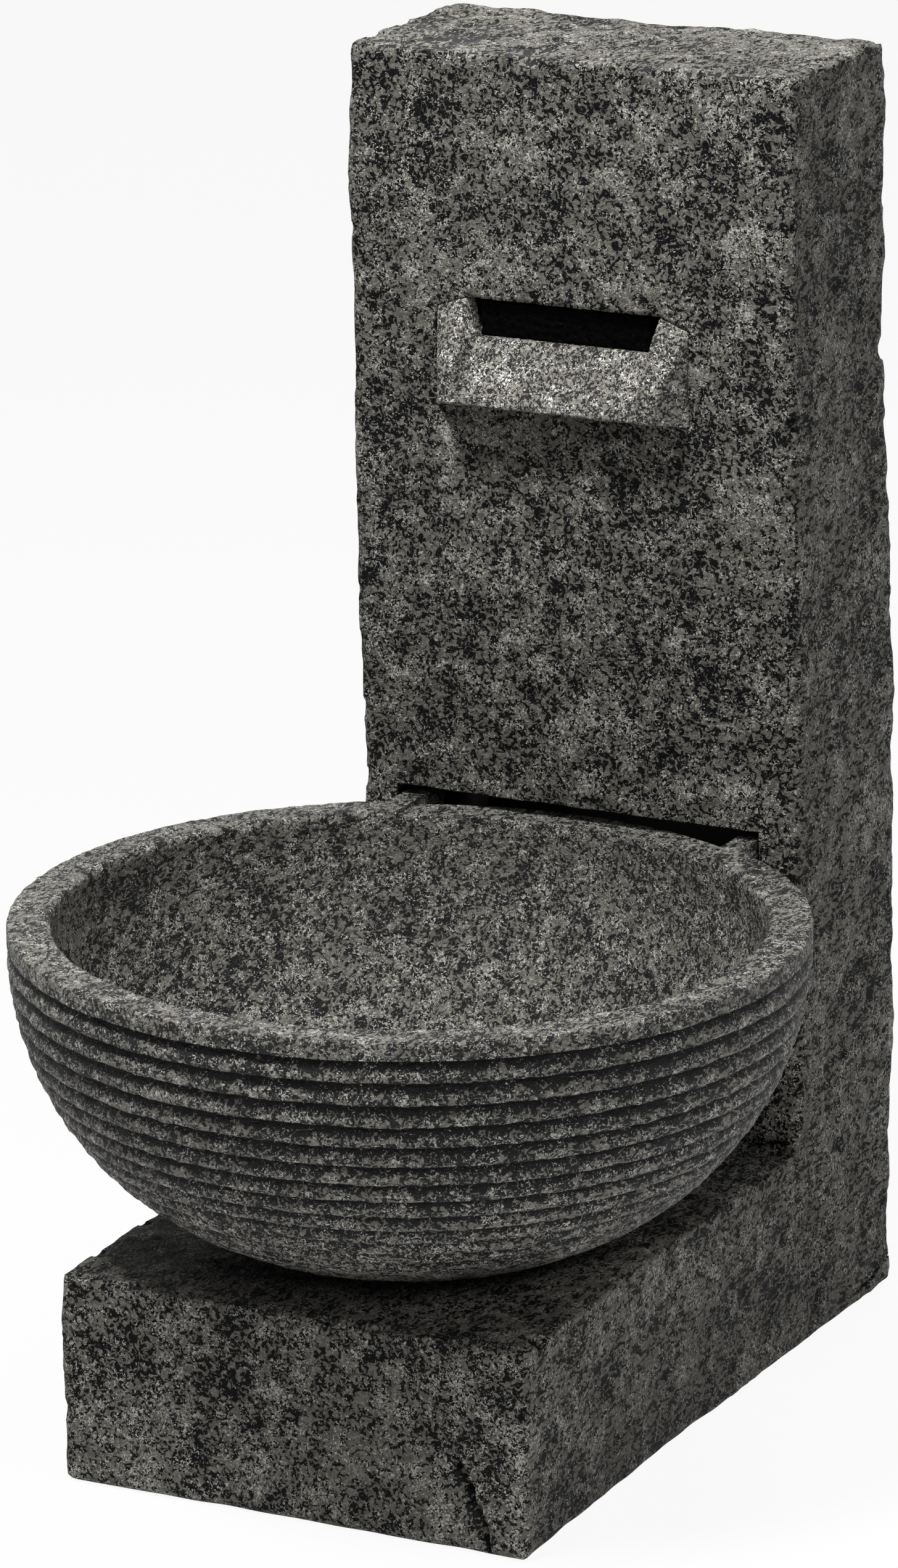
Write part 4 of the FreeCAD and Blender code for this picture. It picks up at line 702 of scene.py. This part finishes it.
def bowlProfile():
    # Points (radius, height) from the middle of the floor over the rim to the middle of the foot,
    # with how deep in a lap's recess each one lies.
    centre, top = bowl["arcCentre"], bowl["arcTop"]
    points, depths = [], []

    def point(radius, height, depth=0.0):
        points.append((radius, height))
        depths.append(depth)

    floor = top - bowl["innerArc"]
    for radius in np.linspace(0, centre, bowl["floorPoints"] + 1)[:-1]:
        point(radius, floor)
    for angle in np.linspace(math.pi / 2, 0, bowl["insidePoints"] - bowl["floorPoints"]):
        point(centre + bowl["innerArc"] * math.cos(angle), top - bowl["innerArc"] * math.sin(angle))
    inner, outer, rim = centre + bowl["innerArc"], bowl["rimRadius"], bowl["rimTop"]
    for height in np.linspace(top, rim - bowl["innerEdge"], bowl["lipSteps"])[1:]:
        point(inner, height)
    edge = bowl["innerEdge"]
    for angle in bowl["innerAngles"]:
        turn = math.radians(angle)
        point(inner + edge * (1 - math.cos(turn)), rim - edge * (1 - math.sin(turn)))
    for radius in np.linspace(inner + bowl["innerEdge"], outer - bowl["rimEdge"], bowl["rimSteps"])[1:]:
        point(radius, rim)
    for angle in bowl["rimAngles"]:
        turn = math.radians(angle)
        point(outer - bowl["rimEdge"] * (1 - math.sin(turn)), rim - bowl["rimEdge"] * (1 - math.cos(turn)))
    for height in np.linspace(rim - bowl["rimEdge"], top + bowl["lapStart"], bowl["sideSteps"])[1:]:
        point(outer, height)
    for lap in range(bowl["laps"]):
        fade = np.interp(lap, (bowl["lapFadesFrom"], bowl["laps"]), (1.0, bowl["lapFadesTo"]))
        for share, depth in bowl["lapShape"]:
            angle = (lap + share) * bowl["lapPitch"] / bowl["arc"]
            reach = bowl["arc"] + depth * fade * bowl["lapDepth"]
            point(centre + reach * math.cos(angle), top - reach * math.sin(angle), depth * fade)
    last = bowl["laps"] * bowl["lapPitch"] / bowl["arc"]
    lowest = math.asin((top - bowl["foot"]) / bowl["arc"])
    for angle in np.linspace(last, lowest, bowl["underSteps"]):
        point(centre + bowl["arc"] * math.cos(angle), top - bowl["arc"] * math.sin(angle))
    for radius in np.linspace(points[-1][0], 0, bowl["footSteps"])[1:]:
        point(radius, bowl["foot"])
    return points, depths


def turningTree():
    # Turns a profile about an upright axis and roughens its skin.
    tree = bpy.data.node_groups.new("turnedShell", "GeometryNodeTree")
    sockets(tree, "INPUT", ("Profile", "Geometry", None), ("Segments", "Int", 64),
            ("Turning Radius", "Float", 0.1), ("Axis", "Vector", None),
            ("Wobble Size", "Float", 0.01), ("Wobble Depth", "Float", 0.0),
            ("Grain Size", "Float", 0.005), ("Grain Depth", "Float", 0.0), ("Seed", "Float", 1.0),
            ("Finish", "Material", None))
    sockets(tree, "OUTPUT", ("Shell", "Geometry", None))
    given = addNode(tree, "NodeGroupInput").outputs
    profile = addNode(tree, "GeometryNodeMeshToCurve", {"Mesh": given["Profile"]})
    circle = addNode(tree, "GeometryNodeCurvePrimitiveCircle",
                     {"Resolution": given["Segments"], "Radius": given["Turning Radius"]})
    shell = addNode(tree, "GeometryNodeCurveToMesh",
                    {"Curve": circle.outputs["Curve"], "Profile Curve": profile.outputs["Curve"]}).outputs[0]
    shell = addNode(tree, "GeometryNodeMergeByDistance",
                    {"Geometry": shell, "Distance": touching}).outputs[0]
    shell = addNode(tree, "GeometryNodeSetPosition", {"Geometry": shell, "Offset": given["Axis"]}).outputs[0]
    for size, depth, detail in (("Wobble Size", "Wobble Depth", 1.0), ("Grain Size", "Grain Depth", 2.0)):
        scale = mathNode(tree, "DIVIDE", 1.0, given[size])
        lumps = addNode(tree, "ShaderNodeTexNoise", {"W": given["Seed"], "Scale": scale, "Detail": detail},
                        noise_dimensions="4D").outputs[0]
        lift = mathNode(tree, "MULTIPLY", mathNode(tree, "MULTIPLY_ADD", lumps, 2.0, -1.0), given[depth])
        outward = addNode(tree, "GeometryNodeInputNormal").outputs["Normal"]
        offset = addNode(tree, "ShaderNodeVectorMath", {0: outward, "Scale": lift}, operation="SCALE")
        shell = addNode(tree, "GeometryNodeSetPosition",
                        {"Geometry": shell, "Offset": offset.outputs[0]}).outputs[0]
    shell = addNode(tree, "GeometryNodeRealizeInstances", {"Geometry": shell}).outputs[0]
    shell = addNode(tree, "GeometryNodeSetMaterial",
                    {"Geometry": shell, "Material": given["Finish"]}).outputs[0]
    addNode(tree, "NodeGroupOutput", {"Shell": shell})
    return tree


def setInputs(step, **values):
    # Inputs of a Geometry Nodes modifier, by the identifiers of its sockets.
    known = {item.name: item.identifier for item in step.node_group.interface.items_tree
             if item.in_out == "INPUT"}
    for word, value in values.items():
        step[known[socketName(word)]] = value


def turnedPiece(name, tree, points, depths=None, **values):
    flat = [(radius - bowl["turning"], -height, 0) for radius, height in points]
    piece = newPiece(name, [], [])
    piece.data.from_pydata(flat, [(number, number + 1) for number in range(len(flat) - 1)], [])
    if depths is not None:
        keepValues(piece.data, "recess", np.array(depths))
    step = piece.modifiers.new("turned shell", "NODES")
    step.node_group = tree
    setInputs(step, turningRadius=bowl["turning"], axis=(*bowl["axis"], 0.0), **values)
    return settle(piece)


def disc(x, y, low, high, radius):
    form = bmesh.new()
    place = Matrix.Translation((x, y, (low + high) / 2))
    bmesh.ops.create_cone(form, cap_ends=True, segments=bowl["padSegments"], radius1=radius,
                          radius2=radius, depth=high - low, matrix=place)
    piece = newPiece("disc", [], [])
    form.to_mesh(piece.data)
    form.free()
    return piece


def channelBlock(part, top):
    half, wide, middle = part["half"], part["wide"], part["centre"]
    section = [(middle + wide, part["under"]), (middle + wide, top), (middle + half, top),
               (middle + half, part["floor"]), (middle - half, part["floor"]), (middle - half, top),
               (middle - wide, top), (middle - wide, part["under"])]
    count = len(section)
    ends = [(x, y, z) for y in (part["start"], part["end"]) for x, z in section]
    around = [(side, (side + 1) % count, (side + 1) % count + count, side + count) for side in range(count)]
    caps = [(0, 3, 2, 1), (0, 7, 4, 3), (4, 7, 6, 5)]
    caps += [tuple(count + corner for corner in reversed(cap)) for cap in caps]
    return turnOutward(newPiece("channel", ends, around + caps))


def buildBowl(finish):
    tree = turningTree()
    points, depths = bowlProfile()
    size, depth = bowl["wobble"]
    grainSize, grainDepth = bowl["grain"]
    piece = turnedPiece("stoneBowl", tree, points, depths, segments=bowl["segments"], wobbleSize=size,
                        wobbleDepth=depth, grainSize=grainSize, grainDepth=grainDepth, finish=finish)
    places = placesOf(piece.data)
    reach = np.hypot(places[:, 0] - bowl["axis"][0], places[:, 1] - bowl["axis"][1])
    within = np.minimum(1, bowl["rimRadius"] / reach)[:, None]
    places[:, :2] = bowl["axis"] + (places[:, :2] - bowl["axis"]) * within
    movePlaces(piece.data, places)
    recess = np.empty(len(places))
    piece.data.attributes["recess"].data.foreach_get("value", recess)

    extra, part = bowl["hollowExtra"], bowl["channel"]
    rise = bowl["rimTop"] + bowl["cutRise"]
    inside = [(radius + extra * (radius > 0), height - extra)
              for radius, height in points[:bowl["insidePoints"]]]
    water = turnedPiece("waterRoom", tree, [(0.0, rise), (inside[-1][0], rise), *reversed(inside)],
                        segments=bowl["waterSegments"])
    channel = combine(channelBlock(part, bowl["rimTop"]), water)
    combine(piece, channel, "UNION")
    combine(piece, block((part["centre"] - part["half"], part["start"], bowl["overflow"]),
                         (part["centre"] + part["half"], part["end"] + bowl["cutPast"], rise)))
    for number in range(bowl["pads"]):
        turn = math.radians((number + 0.5) * 360 / bowl["pads"])
        x, y = bowl["padCircle"] * math.cos(turn), bowl["axis"][1] + bowl["padCircle"] * math.sin(turn)
        combine(piece, disc(x, y, bowl["foot"] - bowl["cutPast"], bowl["padSeatTop"], bowl["padSeat"]))
    keepValues(piece.data, "recess", recess[nearestPlaces(piece.data, places)[0]])
    piece.data.materials.clear()
    piece.data.materials.append(finish)
    shade(piece, bowl["sharpAngle"])
    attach(piece, "bowl_body")
    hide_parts("bowl")
    print("bowl:", len(piece.data.polygons), "faces")


# Chute and foam

chute = {"voxel": 0.0015, "roughness": [(0.009, 0.0006), (0.0035, 0.0004)], "seed": 2.0, "wallFace": 0.1595,
         "calmFrom": 0.002, "calmOver": 0.004, "sharpAngle": 50}
foam = {"spacing": 0.0013, "round": 0.001, "poreSize": 0.0034, "poreDepth": 0.0016, "poreEdge": (0.15, 0.6),
        "seed": 4.0, "sharpAngle": 60, "skin": paint(4, 4, 5), "pit": paint(1, 1, 1),
        "paintedSpark": paint(70, 70, 72), "paintedSparkEdge": (0.67, 0.76), "paintedSparkShare": 0.5, "strandScale": 900.0,
        "rough": 0.7, "shine": 0.02, "bump": 0.8}


def buildChute(finish):
    piece = cadCopy("spout")
    step = piece.modifiers.new("even skin", "REMESH")
    step.mode = "VOXEL"
    step.voxel_size = chute["voxel"]
    settle(piece)
    piece.name = "chute"
    places = placesOf(piece.data)
    outward = np.empty(len(places) * 3)
    piece.data.vertex_normals.foreach_get("vector", outward)
    lift = sum(swell(places, size, chute["seed"]) * depth for size, depth in chute["roughness"])
    lift *= smooth(chute["wallFace"] + chute["calmFrom"] - places[:, 1], 0.0, chute["calmOver"])
    movePlaces(piece.data, places + outward.reshape(-1, 3) * lift[:, None])
    piece.data.materials.clear()
    piece.data.materials.append(finish)
    shade(piece, chute["sharpAngle"])
    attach(piece, "pillar")
    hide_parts("spout")
    print("chute:", len(piece.data.polygons), "faces")


def buildFoam(finish):
    low, high = (np.array(corner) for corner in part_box("weir_foam"))
    planes = [evenSteps(low[axis], high[axis], foam["spacing"]) for axis in range(3)]
    places, faces = latticeSkin(planes, np.ones([len(line) - 1 for line in planes], bool))
    rounded, outward = roundEdges(places, low, high, foam["round"])
    pores = 1 - smooth(dishes(rounded, foam["poreSize"], foam["seed"]), *foam["poreEdge"])
    shaped = rounded - outward * (pores * foam["poreDepth"])[:, None]
    piece = newPiece("filterFoam", shaped.tolist(), faces.tolist())
    keepValues(piece.data, "pore", pores)
    piece.data.materials.append(finish)
    shade(piece, foam["sharpAngle"])
    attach(piece, "pillar")
    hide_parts("weir_foam")
    print("foam:", len(piece.data.polygons), "faces")


# Finishes of the other pieces, by the record's material slots

finishes = {
    "black_rubber": {"colour": paint(40, 40, 41), "tint": paint(27, 27, 28), "rough": (0.55, 0.8),
                     "size": 0.0009, "depth": 0.06},
    "black_plastic": {"colour": paint(36, 36, 38), "tint": paint(28, 28, 30), "rough": (0.38, 0.55),
                      "size": 0.0012, "depth": 0.05},
    "grey_plastic": {"colour": paint(104, 104, 103), "tint": paint(88, 88, 87), "rough": (0.4, 0.6),
                     "size": 0.0012, "depth": 0.05},
    "stainless_steel": {"colour": paint(196, 196, 194), "tint": paint(166, 167, 168), "rough": (0.2, 0.38),
                        "size": 0.0006, "depth": 0.01, "metal": 1.0, "stretch": 14.0},
    "brass": {"colour": paint(212, 178, 104), "tint": paint(170, 134, 70), "rough": (0.22, 0.42),
              "size": 0.0006, "depth": 0.01, "metal": 1.0, "stretch": 10.0},
    "grey_hose": {"colour": paint(142, 143, 143), "tint": paint(122, 123, 124), "rough": (0.3, 0.48),
                  "size": 0.002, "depth": 0.03, "stretch": 0.12},
    "pump_plastic": {"colour": paint(38, 41, 44), "tint": paint(28, 31, 34), "rough": (0.22, 0.36),
                     "size": 0.0016, "depth": 0.02},
    "dark_plastic": {"colour": paint(66, 72, 82), "tint": paint(52, 57, 66), "rough": (0.34, 0.5),
                     "size": 0.0011, "depth": 0.03},
    "core_steel": {"colour": paint(134, 135, 138), "tint": paint(84, 85, 88), "rough": (0.3, 0.5),
                   "size": 0.0005, "depth": 0.05, "metal": 1.0, "stretch": 0.03},
    "copper_winding": {"colour": paint(176, 98, 52), "tint": paint(120, 58, 28), "rough": (0.2, 0.36),
                       "size": 0.0006, "depth": 0.05, "metal": 1.0},
    "ceramic_shaft": {"colour": paint(236, 232, 220), "tint": paint(222, 217, 203), "rough": (0.1, 0.2),
                      "size": 0.003, "depth": 0.005},
    "ferrite_magnet": {"colour": paint(70, 70, 72), "tint": paint(54, 54, 56), "rough": (0.35, 0.55),
                       "size": 0.0008, "depth": 0.03},
}
mottling = {"scale": 55.0, "share": 0.5, "edge": (0.4, 0.6), "bump": 0.001}


def moulding():
    # Grain and faint mottling for moulded and machined pieces.
    group = bpy.data.node_groups.new("mouldedGrain", "ShaderNodeTree")
    sockets(group, "INPUT", ("Color", "Color", None), ("Tint", "Color", None), ("Grain Size", "Float", 0.001),
            ("Stretch", "Float", 1.0), ("Low Rough", "Float", 0.4), ("High Rough", "Float", 0.6))
    sockets(group, "OUTPUT", *surfaceOutputs)
    given = addNode(group, "NodeGroupInput").outputs
    place = addNode(group, "ShaderNodeTexCoord").outputs["Object"]
    scale = mathNode(group, "DIVIDE", 1.0, given["Grain Size"])
    tall = mathNode(group, "DIVIDE", 1.0, given["Stretch"])
    ratio = addNode(group, "ShaderNodeCombineXYZ", {"X": 1.0, "Y": 1.0, "Z": tall})
    drawn = addNode(group, "ShaderNodeVectorMath", {0: place, 1: ratio.outputs[0]}, operation="MULTIPLY")
    grain = addNode(group, "ShaderNodeTexNoise", {"Vector": drawn.outputs[0], "Scale": scale, "Detail": 3.0})
    mottle = addNode(group, "ShaderNodeTexNoise",
                     {"Vector": place, "Scale": mottling["scale"], "Detail": 3.0})
    spots = mathNode(group, "MULTIPLY", mottle.outputs["Fac"], mottling["share"])
    spots = mathNode(group, "MULTIPLY_ADD", grain.outputs["Fac"], 1 - mottling["share"], spots)
    share = stepUp(group, spots, *mottling["edge"])
    colour = mixColour(group, share, given["Tint"], given["Color"])
    spread = mathNode(group, "SUBTRACT", given["High Rough"], given["Low Rough"])
    rough = mathNode(group, "MULTIPLY_ADD", mottle.outputs["Fac"], spread, given["Low Rough"])
    addNode(group, "NodeGroupOutput", {"Color": colour, "Roughness": rough, "Height": grain.outputs["Fac"]})
    return group


def mouldedMaterial(name, group, finish):
    material, tree = blankMaterial(name)
    low, high = finish["rough"]
    grain = addNode(tree, "ShaderNodeGroup", node_tree=group)
    for socket, value in (("Color", finish["colour"]), ("Tint", finish["tint"]),
                          ("Grain Size", finish["size"]), ("Stretch", finish.get("stretch", 1.0)),
                          ("Low Rough", low), ("High Rough", high)):
        grain.inputs[socket].default_value = value
    bump = addNode(tree, "ShaderNodeBump", {"Height": grain.outputs["Height"],
                   "Distance": mottling["bump"], "Strength": finish["depth"]})
    surface = addNode(tree, "ShaderNodeBsdfPrincipled", {
        "Base Color": grain.outputs["Color"], "Roughness": grain.outputs["Roughness"],
        "Normal": bump.outputs["Normal"], "Metallic": finish.get("metal", 0.0)})
    addNode(tree, "ShaderNodeOutputMaterial", {"Surface": surface.outputs[0]})
    return material


def foamMaterial():
    # Black sponge with deep pores. Painted shade darkens the pores, and painted highlights brighten a few
    # strands as glints.
    material, tree = blankMaterial("blackSponge")
    place = addNode(tree, "ShaderNodeTexCoord").outputs["Object"]
    pore = addNode(tree, "ShaderNodeAttribute", attribute_name="pore").outputs["Fac"]
    strands = addNode(tree, "ShaderNodeTexNoise",
                      {"Vector": place, "Scale": foam["strandScale"], "Detail": 2.0})
    # Painted shade in the pores, painted glints on a few strands.
    deep = mixColour(tree, pore, foam["skin"], foam["pit"])
    paintedSparkMask = stepUp(tree, strands.outputs["Fac"], *foam["paintedSparkEdge"])
    colour = mixColour(tree, mathNode(tree, "MULTIPLY", paintedSparkMask, foam["paintedSparkShare"]), deep, foam["paintedSpark"])
    bump = addNode(tree, "ShaderNodeBump", {"Height": strands.outputs["Fac"], "Distance": 0.001,
                   "Strength": foam["bump"]})
    surface = addNode(tree, "ShaderNodeBsdfPrincipled", {"Base Color": colour, "Roughness": foam["rough"],
                      "Normal": bump.outputs["Normal"], "Specular IOR Level": foam["shine"]})
    addNode(tree, "ShaderNodeOutputMaterial", {"Surface": surface.outputs[0]})
    return material


def dressCadNodes(materials):
    for part in frame["record"]["subparts"]:
        node = nodes[part["node"]]
        if part["material_slot"] in materials:
            node.data.materials.clear()
            node.data.materials.append(materials[part["material_slot"]])
    print("finishes:", len(materials), "materials")


# The stone finishes are copies of one cast granite. Their paleness is partly painted light: the chute, lit
# from above, is painted much paler and the rock-faced front darker.
graniteTree = graniteGroup()
frontGranite = graniteMaterial("rockFacedGranite", graniteTree, "relief", reliefPull=0.05,
                               shine=0.06, paleness=0.68, taupeShare=0.47,
                               clusters=0.27, glints=1.1, grainDepth=2.0)
rawGranite = graniteMaterial("rawCastInside", graniteTree, taupeShare=0.35, glints=0.1)
bowlGranite = graniteMaterial("bowlGranite", graniteTree, "recess", shine=0.25, glints=1.2, reliefPull=0.21,
                              paleness=0.88, taupeShare=0.46, clusters=0.24, flakeSize=0.0033, grainDepth=2.8)
chuteGranite = graniteMaterial("chuteGranite", graniteTree, shine=0.35, glints=1.15, flakeSize=0.0022,
                               grainDepth=3.2, paleness=1.4, clusters=0.1, taupeShare=0.47)
mouldedTree = moulding()
cadMaterials = {slot: mouldedMaterial(slot, mouldedTree, finish) for slot, finish in finishes.items()}
cadMaterials["black_foam"] = foamMaterial()
cadMaterials["cast_stone"] = bowlGranite

placeCamera()
buildStudio()
dressCadNodes(cadMaterials)
buildStone(frontGranite, rawGranite)
buildBowl(bowlGranite)
buildChute(chuteGranite)
buildFoam(cadMaterials["black_foam"])
